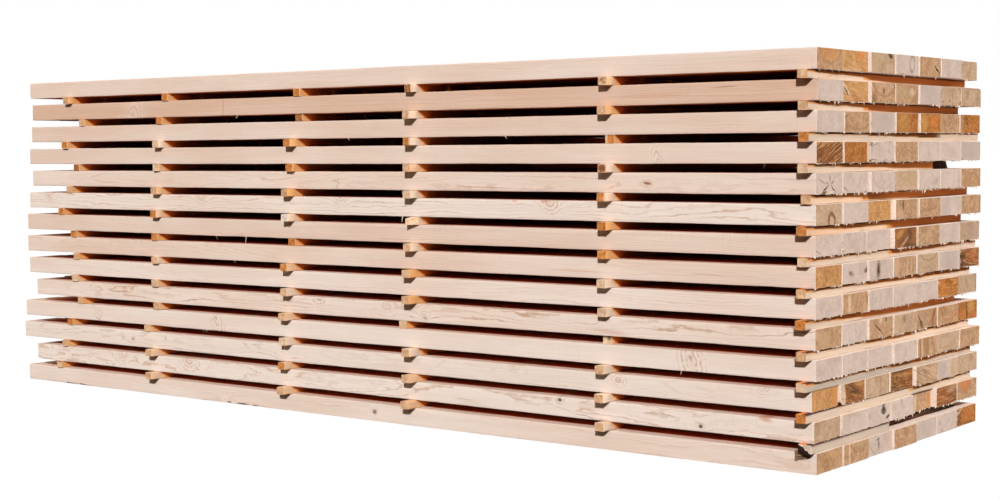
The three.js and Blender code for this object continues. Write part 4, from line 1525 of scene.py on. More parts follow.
@dataclass
class Board:
    """One sawn board, from its tail to the squared-off end of the stack."""

    layer: int
    number: int
    tail: float
    end: float
    sizes: StackSizes

    ARRIS = 1.5 * MM
    END_EASE = 0.5 * MM
    END_SPACING = 5.4 * MM
    TAIL_SPACING = 8.0 * MM
    OUTER_SPACING = 62 * MM
    INNER_SPACING = 160 * MM
    END_STATIONS = (0.0, 0.5 * MM, 4 * MM, 12 * MM, 30 * MM, 70 * MM, 120 * MM)
    SIDE_POINTS = (27, 9, 20, 9)
    SPLIT_STEPS = 8
    END_PITS = 0.25 * MM
    TAIL_PITS = 0.3 * MM
    TAIL_TORN = 0.6
    END_REACH = (1.0, 0.85, 0.45, 0.12)  # how far the raggedness reaches, by station
    TAIL_REACH = (1.0, 0.8, 0.3, 0.0)
    SAW_WAVER = 0.3 * MM
    BARKED = 0.9 * MM  # how far the surface has moved where bark begins
    END_WEATHERED = 24 * MM  # how far from the ends the weather and the lamps' light reach before the painted shade begins
    TOP_LIT_AND_WEATHERED = 31 * MM  # and from the long sides in a board's upper half

    def __post_init__(self) -> None:
        """Settles the board's place and its own random choices."""
        self.key = (self.layer, self.number)
        self.rng = np.random.default_rng(100 * self.layer + self.number)
        self.seed = self.rng.random()
        self.shift = 9.0 * self.seed  # along the log, so that no two boards are alike
        self.half = np.array([self.sizes.board_width, self.sizes.board_thickness]) / 2
        level = (self.layer - 1) * self.sizes.pitch + self.half[1]
        self.middle = np.array([self.sizes.board_y(self.number), level])
        self.plan = LayerPlan(*LAYER_PLANS[-self.layer])
        self.tone = EndTone(self.plan.ends[self.number - 1])
        draw = self.rng.uniform
        away = draw(45, 95) if self.tone in (EndTone.PALE, EndTone.BEIGE) else draw(10, 55)
        plain = (draw(-50, 50), away * self.rng.choice((-1, 1)), 0.15, 90)
        self.figure = EndFigure(*END_FIGURES.get(self.key, plain))
        self.pith = np.array([self.figure.across, self.figure.up]) * MM
        self.drift = draw(-6, 6, 2) * MM
        self.is_near = self.number == 1
        self.warmth = self.plan.warmth if self.is_near else draw(0.0, 0.45)
        self.strength = self.plan.figure if self.is_near else draw(0.25, 0.8)

    def grain(self, points: Array) -> Array:
        """Places points in the log, whose pith drifts a little along the board.

        Args:
            points: the points.

        Returns:
            Where they lie along the log and from the pith.
        """
        bow = np.sin((points[:, 0] - self.end) / (self.end - self.tail) * math.pi * 1.5)
        across = points[:, 1:] - self.middle - self.pith + np.outer(bow, self.drift)
        return np.concatenate([points[:, :1] + self.shift, across], 1)

    def inner(self, points: Array) -> Array:
        """Works out how far inside the stack points lie, and so where painted shade goes: the fresh and the
        dark red colours begin about where the lamps' light stops reaching into the gaps, so they stand for
        shade as well as for unweathered wood.

        Args:
            points: the points.

        Returns:
            0 for weathered wood in the light, rising through 1, fresh wood, to 2, the painted shade of the
            gaps.
        """
        across = points[:, 1] - self.sizes.near_side
        ends = np.minimum(self.end - points[:, 0], points[:, 0] - self.tail) - self.END_WEATHERED
        depth = np.minimum.reduce([across, self.sizes.across - across, ends])
        above = points[:, 2] > self.middle[1]
        if self.layer == LAYERS:
            return 2 * eased(depth / (14 * MM)) * ~above
        return 2 * eased((depth - self.TOP_LIT_AND_WEATHERED * above) / (16 * MM))

    def knots(self) -> dict[str, Triple]:
        """Chooses the board's branches.

        Returns:
            Place along the log, direction round the pith and radius, by attribute name.
        """
        found = []
        for back, up, radius in FACE_KNOTS.get(self.layer, []) if self.is_near else []:
            target = np.array([-self.half[0], up * MM]) - self.pith
            place = self.end - back * MM + self.shift - KNOT_LEAN * np.linalg.norm(target)
            found.append((place, math.atan2(target[1], target[0]), radius * MM))
        while len(found) < len(KNOTS):
            place = self.rng.uniform(self.tail + 0.1, self.end - 0.15) + self.shift
            turn = self.rng.uniform(-1.1, 1.1) if self.is_near else self.rng.uniform(-math.pi, math.pi)
            found.append((place, turn, self.rng.uniform(4, 11) * MM))
        return dict(zip(KNOTS, found))

    def stations(self) -> Array:
        """Places the rings of points.

        Returns:
            Where they lie along the board.
        """
        outer = self.number in (1, BOARDS_PER_LAYER) or self.layer in (1, LAYERS)
        near_ends = np.array(self.END_STATIONS)
        first, last = self.tail + near_ends[-1], self.end - near_ends[-1]
        count = max(2, round((last - first) / (self.OUTER_SPACING if outer else self.INNER_SPACING)))
        between = np.linspace(first, last, count + 1)[1:-1]
        return np.concatenate([self.tail + near_ends, between, self.end - near_ends[::-1]])

    def shaped(self, section: Section, xs: Array) -> tuple[Array, Array]:
        """Shapes the rings: uneven arrises, saw waver, ragged end edges and bark edges.

        Args:
            section: the board's section.
            xs: the stations along the board.

        Returns:
            The rings, and how far a bark edge has moved each of their points.
        """
        uneven = np.stack([smooth_wave(self.rng, xs, (0.9, 0.31, 0.12)) for _ in range(4)], 1)
        arris = self.ARRIS * np.clip(1 + 0.55 * uneven, 0.35, 2.2)
        if self.layer == 1:
            arris[:, :2] *= 0.3
        rings = section.rings(arris)
        waver = np.stack([smooth_wave(self.rng, xs, (1.7, 0.63, 0.24)) for _ in range(4)], 1)
        inward = self.SAW_WAVER * (1 + waver[:, section.side] * 0.8)
        if self.layer == 1:
            inward[:, section.side == 0] = 0.0
        rings = rings - section.outward * inward[..., None]
        for at_end, reach in ((True, self.END_REACH), (False, self.TAIL_REACH)):
            ragged = self.ragged(section, self.plan.torn if at_end else self.TAIL_TORN)
            for k, share in enumerate(reach):
                ease = self.END_EASE if k == 0 else 0.0
                rings[-1 - k if at_end else k] -= section.outward * (ragged * share + ease)[:, None]
        moved = np.zeros(rings.shape[:2])
        for row in WANES.get(self.key, []):
            moved = np.maximum(moved, self.cut_wane(rings, xs, Wane(*row)))
        return rings, moved

    def ragged(self, section: Section, torn: float) -> Array:
        """Tears an end's outline.

        Args:
            section: the board's section.
            torn: how ragged the end is.

        Returns:
            How far each point is torn back.
        """
        chips = np.clip(self.rng.normal(0, 1, section.count) - 0.4, 0, 2)
        chips = (chips + np.roll(chips, 1) * 0.6 + np.roll(chips, -1) * 0.3) / 1.9
        return chips * np.array([1.3, 0.45, 0.25, 0.45])[section.side] * torn * MM

    def cut_wane(self, rings: Array, xs: Array, wane: Wane) -> Array:
        """Moves ring points in a corner to the log's round surface.

        Args:
            rings: the rings, which are changed.
            xs: their stations.
            wane: the bark edge.

        Returns:
            How far each point has moved.
        """
        back = (self.end - xs) if wane.to_end > 0 else (xs - self.tail)
        uneven = 1 + 0.12 * smooth_wave(self.rng, xs, (0.4, 0.15))
        size = np.clip(1 - back / (wane.run * MM), 0, 1) * uneven
        most = np.maximum(size[:, None] * np.array([wane.across, wane.down]) * MM, 1e-6)[:, None]
        sides = np.array([wane.side, wane.face])
        off = self.half - sides * rings
        into = (most - off) / most
        norm = (np.clip(into, 0, None) ** 1.3).sum(-1) ** (1 / 1.3)
        over = (into > 0).all(-1) & (norm > 1) & (most[..., 0] > 1.5 * MM)
        new = most - into / np.where(over, norm, 1.0)[..., None] * most
        rings[over] = (sides * (self.half - new))[over]
        return np.where(over, np.linalg.norm(new - off, axis=-1), 0.0)

    def build(self, mesh: WoodMesh) -> None:
        """Adds the board to its layer's mesh.

        Args:
            mesh: the layer's mesh.
        """
        section = Section(self.sizes.board_width, self.sizes.board_thickness, self.SIDE_POINTS)
        xs = self.stations()
        rings, moved = self.shaped(section, xs)
        across = (rings + self.middle).reshape(-1, 2)
        points = np.concatenate([np.repeat(xs, section.count)[:, None], across], 1)
        triangles = loft(0, len(xs), section.count)
        barked = moved.reshape(-1)[triangles].mean(1) > self.BARKED
        parts = [(points, triangles, np.where(barked, Surface.WANE.value, Surface.FACE.value))]
        self.squared_end(parts, rings[-1])
        cap = Cap(rings[0], self.TAIL_SPACING, self.rng)
        points, triangles, surfaces = self.sawn(cap, self.tail, -self.TAIL_PITS, 0, count_of(parts))
        parts.append((points, triangles[:, ::-1], surfaces))
        points, triangles, surfaces = (np.concatenate(each) for each in zip(*parts))
        flat = points[:, 1:] - self.middle
        values = {
            "grain": self.grain(points),
            "section": np.pad(flat, ((0, 0), (0, 1))),
            "seed": self.seed,
            "warmth": self.warmth,
            "figure": self.strength,
            "inner": self.inner(points),
            "end_figure": (math.radians(self.figure.angle), self.figure.drag, 0.0),
            **self.knots(),
            **mark_values("end_mark", END_MARKS.get(self.key, []), flat),
        }
        if self.is_near:
            side = np.stack([self.end - points[:, 0], flat[:, 1]], 1)
            values.update(mark_values("face_mark", FACE_MARKS.get(self.layer, []), side))
        mesh.add(points, triangles, surfaces, values)
        self.tear(mesh)

    def sawn(self, cap: Cap, x: float, relief: float, first: int, start: int) -> Part:
        """Meshes a sawn end.

        Args:
            cap: its face.
            x: where it lies.
            relief: how deep its surface is pitted, or less than 0 at the tail.
            first: the number of its outline's first point.
            start: the number of its first new point.

        Returns:
            Its new points, triangles and surfaces.
        """
        flat, triangles = cap.join(first, start)
        pits = relief * self.rng.random(len(cap.outline) + len(flat))[len(cap.outline) :]
        points = np.concatenate([(x - pits)[:, None], flat + self.middle], 1)
        return points, triangles, np.full(len(triangles), Surface.of_end(self.tone).value)

    def squared_end(self, parts: list[Part], ring: Array) -> None:
        """Adds the board's squared-off end, with its splits.

        Args:
            parts: the parts of the board so far.
            ring: the outline of the end, from the middle of the board.
        """
        splits = [Split(*row) for row in SPLITS.get(self.key, [])]
        cap = Cap(ring, self.END_SPACING, self.rng, [self.lens(split) for split in splits])
        rim = count_of(parts)
        parts.append(self.sawn(cap, self.end, self.END_PITS, rim - len(ring), rim))
        for split, loop in zip(splits, cap.loops):
            parts.append(self.split_walls(split, loop, rim + np.arange(len(loop)), count_of(parts)))
            rim += len(loop)

    def lens(self, split: Split) -> Array:
        """Draws the outline of a split.

        Args:
            split: the split.

        Returns:
            Its points from the lower tip, anticlockwise.
        """
        share = np.linspace(-1, 1, self.SPLIT_STEPS + 1)
        wave = 0.35 * smooth_wave(self.rng, share, (1.6, 0.9)) * (1 - share**2) * split.gape
        half = split.gape / 2 * (1 - np.abs(share) ** 1.4) + 0.05
        right, left = (np.stack([wave + way * half, share * split.height / 2], 1) for way in (1, -1))
        loop = np.concatenate([right, left[::-1][1:-1]])
        loop[0, 0] = loop[self.SPLIT_STEPS, 0] = 0.0
        return tilted(loop * MM, split.lean) + np.array([split.across, split.up]) * MM

    def split_walls(self, split: Split, loop: Array, rim: Array, start: int) -> Part:
        """Meshes the two walls of a split, which meet along its floor.

        Args:
            split: the split.
            loop: its outline.
            rim: the point numbers of its outline.
            start: the number of its first new point.

        Returns:
            New points, triangles and surfaces.
        """
        steps = self.SPLIT_STEPS
        share = np.linspace(-1, 1, steps + 1)[1:-1]
        middle = (loop[1:steps] + loop[steps + 1 :][::-1]) / 2
        depth = split.depth * MM * (1 - share**2) * self.rng.uniform(0.8, 1.0, len(share)) + 0.5 * MM
        floor = np.concatenate([(self.end - depth)[:, None], middle + self.middle], 1)
        numbers = start + np.arange(len(floor))
        under = np.concatenate([[-1], numbers, [-1], numbers[::-1]])
        triangles = []
        for i in range(len(rim)):
            j = (i + 1) % len(rim)
            if under[j] >= 0:
                triangles.append((rim[i], rim[j], under[j]))
            if under[i] >= 0:
                last = under[j] if under[j] >= 0 else rim[j]
                triangles.append((rim[i], last, under[i]))
        return floor, np.array(triangles), np.full(len(triangles), Surface.SPLIT.value)

    def tear(self, mesh: WoodMesh) -> None:
        """Hangs torn fibres along the edges of the squared-off end, and long ones on a near board.

        Args:
            mesh: the layer's mesh.
        """
        rng, (across, up) = self.rng, self.half
        below = 0 if self.layer == 1 else rng.poisson(22 * self.plan.torn)
        clumps = rng.uniform(-across, across, 5)
        for _ in range(below):
            place = np.clip(rng.choice(clumps) + rng.normal(0, 14 * MM), -across, across)
            root = (rng.uniform(0.3, 2.5) * MM, place, 0.8 * MM - up)
            out = (rng.uniform(-0.2, 0.3), rng.normal(0, 0.7), -1.0)
            self.hang(mesh, root, out, rng.gamma(2.0, 1.2) * MM + 1.5 * MM, rng.uniform(1.2, 5.0) * MM)
        near = 0 if self.is_near else rng.poisson(4 * self.plan.torn)
        self.tear_side(mesh, -1, near)
        self.tear_side(mesh, 1, 20 if self.key in TORN_SIDES else 0)
        for back, length, lean, above in HAIRS.get(self.layer, []) if self.is_near else []:
            root = (back * MM, 0.7 * MM - across, above * MM)
            self.hang(mesh, root, (lean, -0.16, -1.0), length * MM, 1.9 * MM)

    def tear_side(self, mesh: WoodMesh, side: int, count: int) -> None:
        """Adds torn fibres up one side of the squared-off end.

        Args:
            mesh: the layer's mesh.
            side: -1 for the near side, 1 for the far one.
            count: how many.
        """
        rng, (across, up) = self.rng, self.half
        for _ in range(count):
            height = rng.uniform(-up, up)
            root = (rng.uniform(0.2, 1.6) * MM, side * (across - 0.8 * MM), height)
            out = (rng.uniform(0.1, 0.5), side, rng.normal(-0.2, 0.35))
            self.hang(mesh, root, out, rng.gamma(2.0, 2.2) * MM + 2.0 * MM, rng.uniform(1.0, 2.6) * MM)

    def hang(self, mesh: WoodMesh, root: Triple, out: Triple, length: float, breadth: float) -> None:
        """Adds one curled sliver that the saw left hanging.

        Args:
            mesh: the layer's mesh.
            root: where it leaves the wood: back from the end, across, and up from the middle.
            out: the direction that it sets off in.
            length: its length along its curl.
            breadth: its breadth at the root.
        """
        out = np.array(out) / np.linalg.norm(out)
        curl = self.rng.normal(0, 1, 3)
        curl -= out * (curl @ out)
        curl /= np.linalg.norm(curl)
        side = np.cross(out, curl)
        steps = np.array([0.0, 0.35, 0.7, 1.0])
        bend = self.rng.uniform(0.1, 0.5)
        start = np.array([self.end - root[0], *(self.middle + root[1:])])
        spine = start + np.outer(steps, out) * length + np.outer(steps**2, curl) * length * bend
        width = breadth * np.array([1.0, 0.8, 0.45, 0.08])
        thick = width * self.rng.uniform(0.25, 0.5)
        shape = ((-0.5, -0.33), (0.5, -0.33), (0.0, 0.67))
        points = np.concatenate(
            [[s + side * w * u + curl * t * v for u, v in shape] for s, w, t in zip(spine, width, thick)]
        )
        last = 3 * (len(steps) - 1)
        triangles = np.concatenate([loft(0, len(steps), 3), [(2, 1, 0)], [(last, last + 1, last + 2)]])
        values = {"grain": points, "seed": self.rng.random()}
        mesh.add(points, triangles, np.full(len(triangles), Surface.TORN.value), values)


@dataclass
class BoardLayer:
    """Seven boards side by side, which share one piece."""

    layer: int
    sizes: StackSizes

    @property
    def node(self) -> str:
        """The CAD node that the boards stand for."""
        return f"board_layer_{two_digits(self.layer)}"

    def boards(self) -> list[Board]:
        """Finds the boards, each with the ends that the CAD gives it.

        Returns:
            The boards, the near one first.
        """
        points = node_points(self.node)
        bottom = (self.layer - 1) * self.sizes.pitch
        points = points[points[:, 2] < bottom + self.sizes.board_thickness - 0.1 * MM]
        made = []
        for number in range(1, BOARDS_PER_LAYER + 1):
            off = np.abs(points[:, 1] - self.sizes.board_y(number))
            own = points[off < self.sizes.board_width / 2 + 0.1 * MM, 0]
            made.append(Board(self.layer, number, own.min(), own.max(), self.sizes))
        return made

    def build(self, finishes: Finishes) -> bpy.types.Object:
        """Builds the layer's piece.

        Args:
            finishes: every material.

        Returns:
            The piece.
        """
        mesh = WoodMesh()
        for board in self.boards():
            board.build(mesh)
        piece = mesh.build(f"boards_layer_{two_digits(self.layer)}", finishes.boards)
        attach(piece, "root")
        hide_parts(self.node)
        return piece


# ---------------------------------------------------------------- battens


@dataclass
class Batten:
    """One cross batten, from its near end to its far end."""

    course: int
    column: int
    near: Array
    far: Array
    sizes: StackSizes
    tone: EndTone
    side: SideTone
    roof: Array

    FIRST_SEED = 5000
    ARRIS = 1.0 * MM
    END_REACH = 28 * MM  # how far a slanting end reaches back at the most
    END_STATIONS = (0.0, 0.4, 3.0, 9.0, 16.0, 22.0, 28.0, 36.0, 46.0)  # millimetres from an end
    END_SPACING = 3.0 * MM
    INSET = 60 * MM  # of the stations between the ends
    SPACING = 70 * MM
    LAST_SPACING = 30 * MM
    SAW_WAVER = 0.25 * MM
    CHIPS = 0.6 * MM
    CHIPPED = ((0, 1.0), (1, 0.8), (2, 0.3), (-1, 1.0), (-2, 0.8), (-3, 0.3))  # by station
    PITS = 0.3 * MM
    SIDE_POINTS = (6, 4, 6, 4)

    def __post_init__(self) -> None:
        """Settles the batten's own random choices."""
        self.rng = np.random.default_rng(self.FIRST_SEED + 100 * self.course + self.column)
        self.seed = self.rng.random()
        self.shift = 7.0 * self.seed  # along the log, so that no two battens are alike
        aside, side = self.rng.uniform(-60, 60), self.rng.choice((-1, 1))
        self.pith = np.array([aside, side * self.rng.uniform(15, 70)]) * MM
        self.warmth = self.side.warmth + self.rng.uniform(-0.06, 0.08) - 0.13 * (self.column == LAST)

    @property
    def width(self) -> float:
        """The batten's width."""
        return self.sizes.batten_width

    def cut_back(self, flat: Array) -> Array:
        """Returns how far the near end is cut back at points of the section."""
        return np.zeros(len(flat))

    def cut_back_far(self, flat: Array) -> Array:
        """Returns how far the far end is cut back at points of the section."""
        return np.zeros(len(flat))

    def carved(self, rings: Array, runs: Array) -> Array:
        """Returns the rings with the batten's own shape cut from them."""
        return rings

    def shaped(self, section: Section, runs: Array) -> Array:
        """Shapes the rings: uneven arrises, saw waver and chipped ends.

        Args:
            section: the batten's section.
            runs: the stations along the batten.

        Returns:
            The rings.
        """
        uneven = np.stack([smooth_wave(self.rng, runs, (0.4, 0.13)) for _ in range(4)], 1)
        rings = section.rings(self.ARRIS * np.clip(1 + 0.6 * uneven, 0.35, 2.5))
        waver = np.stack([smooth_wave(self.rng, runs, (0.5, 0.2)) for _ in range(4)], 1)
        inward = self.SAW_WAVER * (1 + 0.8 * waver[:, section.side])
        rings = self.carved(rings - section.outward * inward[..., None], runs)
        for station, share in self.CHIPPED:
            chips = np.clip(self.rng.normal(0, 1, section.count) - 0.5, 0, 2) * self.CHIPS * share
            rings[station] -= section.outward * chips[:, None]
        rings[[0, -1]] *= 0.985
        return rings

    def build(self, mesh: WoodMesh) -> None:
        """Adds the batten to its course's mesh.

        Args:
            mesh: the course's mesh.
        """
        section = Section(self.width, self.sizes.batten_thickness, self.SIDE_POINTS)
        span = self.far - self.near
        length = np.linalg.norm(span)
        along = span / length
        near_ends = np.array(self.END_STATIONS) * MM
        spacing = self.LAST_SPACING if self.column == LAST else self.SPACING
        between = np.linspace(self.INSET, length - self.INSET, max(2, round(length / spacing)))
        runs = np.concatenate([near_ends, between, length - near_ends[::-1]])
        rings = self.shaped(section, runs)
        sides = loft(0, len(runs), section.count)
        parts = [(np.repeat(runs, section.count), rings.reshape(-1, 2), sides)]
        last = (len(runs) - 1) * section.count
        for outline, first, run, way in ((rings[0], 0, 0.0, 1), (rings[-1], last, length, -1)):
            flat, triangles = Cap(outline, self.END_SPACING, self.rng).join(first, count_of(parts))
            relief = self.PITS * self.rng.random(len(flat))
            parts.append((run + way * relief, flat, triangles[:, ::-way]))
        run, flat, triangles = (np.concatenate(each) for each in zip(*parts))
        surfaces = np.full(len(triangles), Surface.of_end(self.tone).value)
        surfaces[: len(sides)] = Surface.FACE.value
        run = run + self.cut_back(flat) * np.clip(1 - run / self.END_REACH, 0, 1)
        run = run - self.cut_back_far(flat) * np.clip(1 - (length - run) / self.END_REACH, 0, 1)
        points = self.near + np.outer(run, along) + np.outer(flat[:, 0], (along[1], -along[0], 0.0))
        points[:, 2] += flat[:, 1]
        surfaces = self.resurfaced(surfaces, flat[triangles].mean(1))
        mesh.add(points, triangles, surfaces, self.values(run, flat, length, points))

    def resurfaced(self, surfaces: Array, centres: Array) -> Array:
        """Returns the surfaces of the triangles, given their middles, with any bark set."""
        return surfaces

    def inner(self, flat: Array, points: Array) -> Array:
        """Works out how far inside the stack points lie, as Board.inner does, and so where painted shade
        goes: the colours follow the key lamp's shadow line down the battens' sides, and on the last batten
        they fill the end lamp's shadow under the boards above.

        Args:
            flat: where they lie in the section.
            points: the points themselves.

        Returns:
            0 for weathered wood in the light, rising through 1, fresh wood, to 2, the painted shade of the
            gaps.
        """
        below = self.sizes.batten_thickness / 2 - flat[:, 1]
        across = points[:, 1] - self.sizes.near_side
        depth = np.minimum(across, self.sizes.across - across)
        # painted shade: the colours start along the key lamp's shadow line, lower down the farther in
        inner = 2 * eased((depth - below * 1.25 + 5 * MM) / (16 * MM))
        if self.column in (0, LAST, INNER):
            outward = 1 if self.column else -1
            inner = inner * eased((self.width / 2 - outward * flat[:, 0] - 6 * MM) / (5 * MM))
        if self.column == LAST:
            # painted shade: the end lamp's shadow that the boards above cast on the last batten's side
            under_shadow = 0.9 * self.overhang(points) - below + 2 * MM
            inner = np.maximum(inner, 1.7 * eased(under_shadow / (7 * MM)))
        return inner

    def overhang(self, points: Array) -> Array:
        """Returns how far the boards above reach beyond points."""
        across = (points[:, 1] - self.sizes.near_side) / (self.sizes.board_width + BOARD_GAP)
        return self.roof[np.clip(across.astype(int), 0, BOARDS_PER_LAYER - 1)] - points[:, 0]

    def soiled(self, flat: Array, points: Array) -> Array:
        """Works out the painted shade: a dark line under the boards at the stack's end, where they shade the
        last batten, or all over a batten that lies in shade.

        Args:
            flat: where they lie in the section.
            points: the points themselves.

        Returns:
            0 where nothing is painted to 1 for full painted shade.
        """
        # painted shade: an inner length that lies in shade is dark all over
        if self.side is SideTone.DARK:
            return np.ones(len(points))
        # painted shade: a dark line along the top of the last batten's outer side, where the boards above
        # shade it
        line = eased((flat[:, 1] - self.sizes.batten_thickness / 2 + 4.5 * MM) / (3 * MM))
        return line * (self.column == LAST) * (flat[:, 0] > 0) * (self.overhang(points) > -5 * MM)

    def values(self, run: Array, flat: Array, length: float, points: Array) -> dict[str, Any]:
        """Works out what the batten's finishes read.

        Args:
            run: how far along the batten its points lie.
            flat: where they lie in its section.
            length: the batten's length.
            points: the points themselves.

        Returns:
            The values by attribute name.
        """
        marks = BATTEN_MARKS.get((self.course, self.column), [])
        knot = (self.rng.uniform(0.1, 0.9) * length + self.shift, self.rng.uniform(-3.1, 3.1), 5 * MM)
        far_off = {name: (-50.0 - slot, 0.0, 1 * MM) for slot, name in enumerate(KNOTS[1:], 2)}
        return {
            "grain": np.concatenate([run[:, None] + self.shift, flat - self.pith], 1),
            "section": np.pad(flat, ((0, 0), (0, 1))),
            "seed": self.seed,
            "warmth": self.warmth,
            "soil": self.soiled(flat, points),
            "figure": self.rng.uniform(0.2, 0.6),
            "inner": self.inner(flat, points),
            KNOTS[0]: knot,
            **far_off,
            "end_figure": (self.rng.uniform(0, 3.1), self.rng.uniform(0.0, 0.5), 0.0),
            **mark_values("end_mark", marks, flat),
        }


@dataclass
class MitredBatten(Batten):
    """The batten whose near end is cut to a point on its tail side, and slopes down to it."""

    BACK = 24 * MM
    DOWN = 4.5 * MM

    def cut_back(self, flat: Array) -> Array:
        """Returns the slant of the near end."""
        return np.clip(flat[:, 0] / self.width + 0.5, 0, 1) * self.BACK

    def carved(self, rings: Array, runs: Array) -> Array:
        """Slopes the top down over the point.

        Args:
            rings: the rings.
            runs: the stations along the batten.

        Returns:
            The rings with the slope.
        """
        back = runs[:, None] + self.cut_back(rings.reshape(-1, 2)).reshape(rings.shape[:2])
        top = self.sizes.batten_thickness / 2 - self.DOWN * np.clip(1 - back / self.BACK, 0, 1)
        rings[..., 1] = np.minimum(rings[..., 1], top)
        return rings


@dataclass
class DeepBatten(Batten):
    """The inner length of a batten in two lengths, with a sloping far end."""

    SLOPE = 14 * MM

    def cut_back_far(self, flat: Array) -> Array:
        """Returns the slope of the far end, which reaches farthest at the bottom."""
        return np.clip(flat[:, 1] / self.sizes.batten_thickness + 0.5, 0, 1) * self.SLOPE


@dataclass
class OffCut(Batten):
    """A wide edging with bark along its lower tail-side corner, snapped off at its near end."""

    BARK_ACROSS = 31 * MM
    BARK_UP = 17 * MM
    WIDTH = 35 * MM
    SIDE_POINTS = (14, 6, 6, 6)
    SNAP = ((-0.5, 6.0), (-0.25, 3.3), (-0.2, 4.8), (0.05, 1.5), (0.1, 2.7), (0.5, 0.2))
    BARK = (
        (-20, 13), (-15, 11), (-12, 5), (-6, 3), (-2, -1), (6, -2), (13, -4), (16, 0), (9, 2),
        (7, 6), (0, 8), (-5, 14), (-14, 17),
    )
    # painted shadow: the outline of the edging's cast shadow on the board below, laid as a thin sheet
    SHADOW_SHEET = ((-31, 3), (-31, -20), (-27, -21), (-22, -17), (-12, -15), (0, -13), (9, -9), (13, -4), (10, 2))

    @property
    def width(self) -> float:
        """The edging's width."""
        return self.WIDTH

    def cut_back(self, flat: Array) -> Array:
        """Snaps the near end off.

        Args:
            flat: points of the section.

        Returns:
            How far the end is cut back at each.
        """
        across, back = zip(*self.SNAP)
        splinters = 0.5 * MM * smooth_wave(self.rng, flat[:, 0] + 0.4 * flat[:, 1], (0.0046, 0.0021))
        return np.interp(flat[:, 0] / self.width, across, back) * MM + np.abs(splinters)

    def carved(self, rings: Array, runs: Array) -> Array:
        """Rounds the lower tail-side corner to the log's surface.

        Args:
            rings: the rings.
            runs: the stations along the batten.

        Returns:
            The rings with the round corner.
        """
        half = np.array([self.width, self.sizes.batten_thickness]) / 2
        aside = rings[..., 0] + half[0]
        up = rings[..., 1] + half[1]
        beneath = np.clip(1 - aside / self.BARK_ACROSS, 0, 1)
        beside = np.clip(up / self.BARK_UP, 0, 1)
        corner = (aside < self.BARK_ACROSS) & (up < self.BARK_UP)
        low = corner & (up < 1.6 * MM)
        share = np.where(low, 0.62 * beneath, 0.62 + 0.38 * beside)[..., None]
        start = np.array([self.BARK_ACROSS, 0.0])
        pull = np.array([0.4 * self.BARK_ACROSS, 0.35 * self.BARK_UP])
        finish = np.array([0.0, self.BARK_UP])
        curve = start * (1 - share) ** 2 + pull * 2 * share * (1 - share) + finish * share**2
        rough = 0.5 * MM * smooth_wave(self.rng, runs, (0.09, 0.031))[:, None, None]
        return np.where(corner[..., None], curve - half + np.abs(rough), rings)

    def resurfaced(self, surfaces: Array, centres: Array) -> Array:
        """Puts bark on the log's surface.

        Args:
            surfaces: the surface of each triangle.
            centres: the middle of each, in the section.

        Returns:
            The surfaces with the bark.
        """
        half = np.array([self.width, self.sizes.batten_thickness]) / 2
        aside, up = ((centres + half) / (self.BARK_ACROSS, self.BARK_UP)).clip(0).T
        outer = (surfaces == Surface.FACE.value) & (aside < 0.97) & (up < 0.97)
        return np.where(outer & (np.sqrt(aside) + np.sqrt(up) < 1.25), Surface.WANE.value, surfaces)

    def build(self, mesh: WoodMesh) -> None:
        """Adds the edging, its broken bark, and a thin bark-coloured sheet on the board below that is
        painted
        shadow: it stands where the edging's cast shadow falls.

        Args:
            mesh: the course's mesh.
        """
        super().build(mesh)
        self.plate(mesh, self.BARK, self.near[1] - 1.2 * MM, 5 * MM, Surface.BARK)
        # painted shadow: a dark sheet where the edging's shadow falls on the board below
        self.plate(mesh, self.SHADOW_SHEET, self.sizes.near_side - 2.2 * MM, 2.4 * MM, Surface.WANE)

    def plate(self, mesh: WoodMesh, outline: tuple, front: float, thick: float, surface: Surface) -> None:
        """Adds a thin upright plate, facing the near side.

        Args:
            mesh: the course's mesh.
            outline: its outline in millimetres, from the middle of the edging's lower edge.
            front: where its face lies, across the stack.
            thick: how thick it is.
            surface: what it is made of.
        """
        x, z = self.near[0], self.near[2] - self.sizes.batten_thickness / 2
        shape = np.array(outline) * MM + (x, z)
        count = len(shape)
        flat, triangles = Cap(shape, 5 * MM, self.rng).fill()
        rough = np.where(np.arange(len(flat)) < count, 0.7 * MM, -0.5 * MM * self.rng.random(len(flat)))
        face = np.stack([flat[:, 0], front + rough, flat[:, 1]], 1)
        back = np.stack([shape[:, 0], np.full(count, front + thick), shape[:, 1]], 1)
        start = len(face)
        walls = [(start + i, start + (i + 1) % count, (i + 1) % count, i) for i in range(count)]
        sides = [(a, b, c) for a, b, c, d in walls] + [(a, c, d) for a, b, c, d in walls]
        backing = Cap(shape, 50 * MM, self.rng).fill()[1]
        numbers = np.array([*triangles, *sides, *(start + backing[:, ::-1])])
        points = np.concatenate([face, back])
        values = {"grain": points * 3.0, "seed": self.seed}
        mesh.add(points, numbers, np.full(len(numbers), surface.value), values)


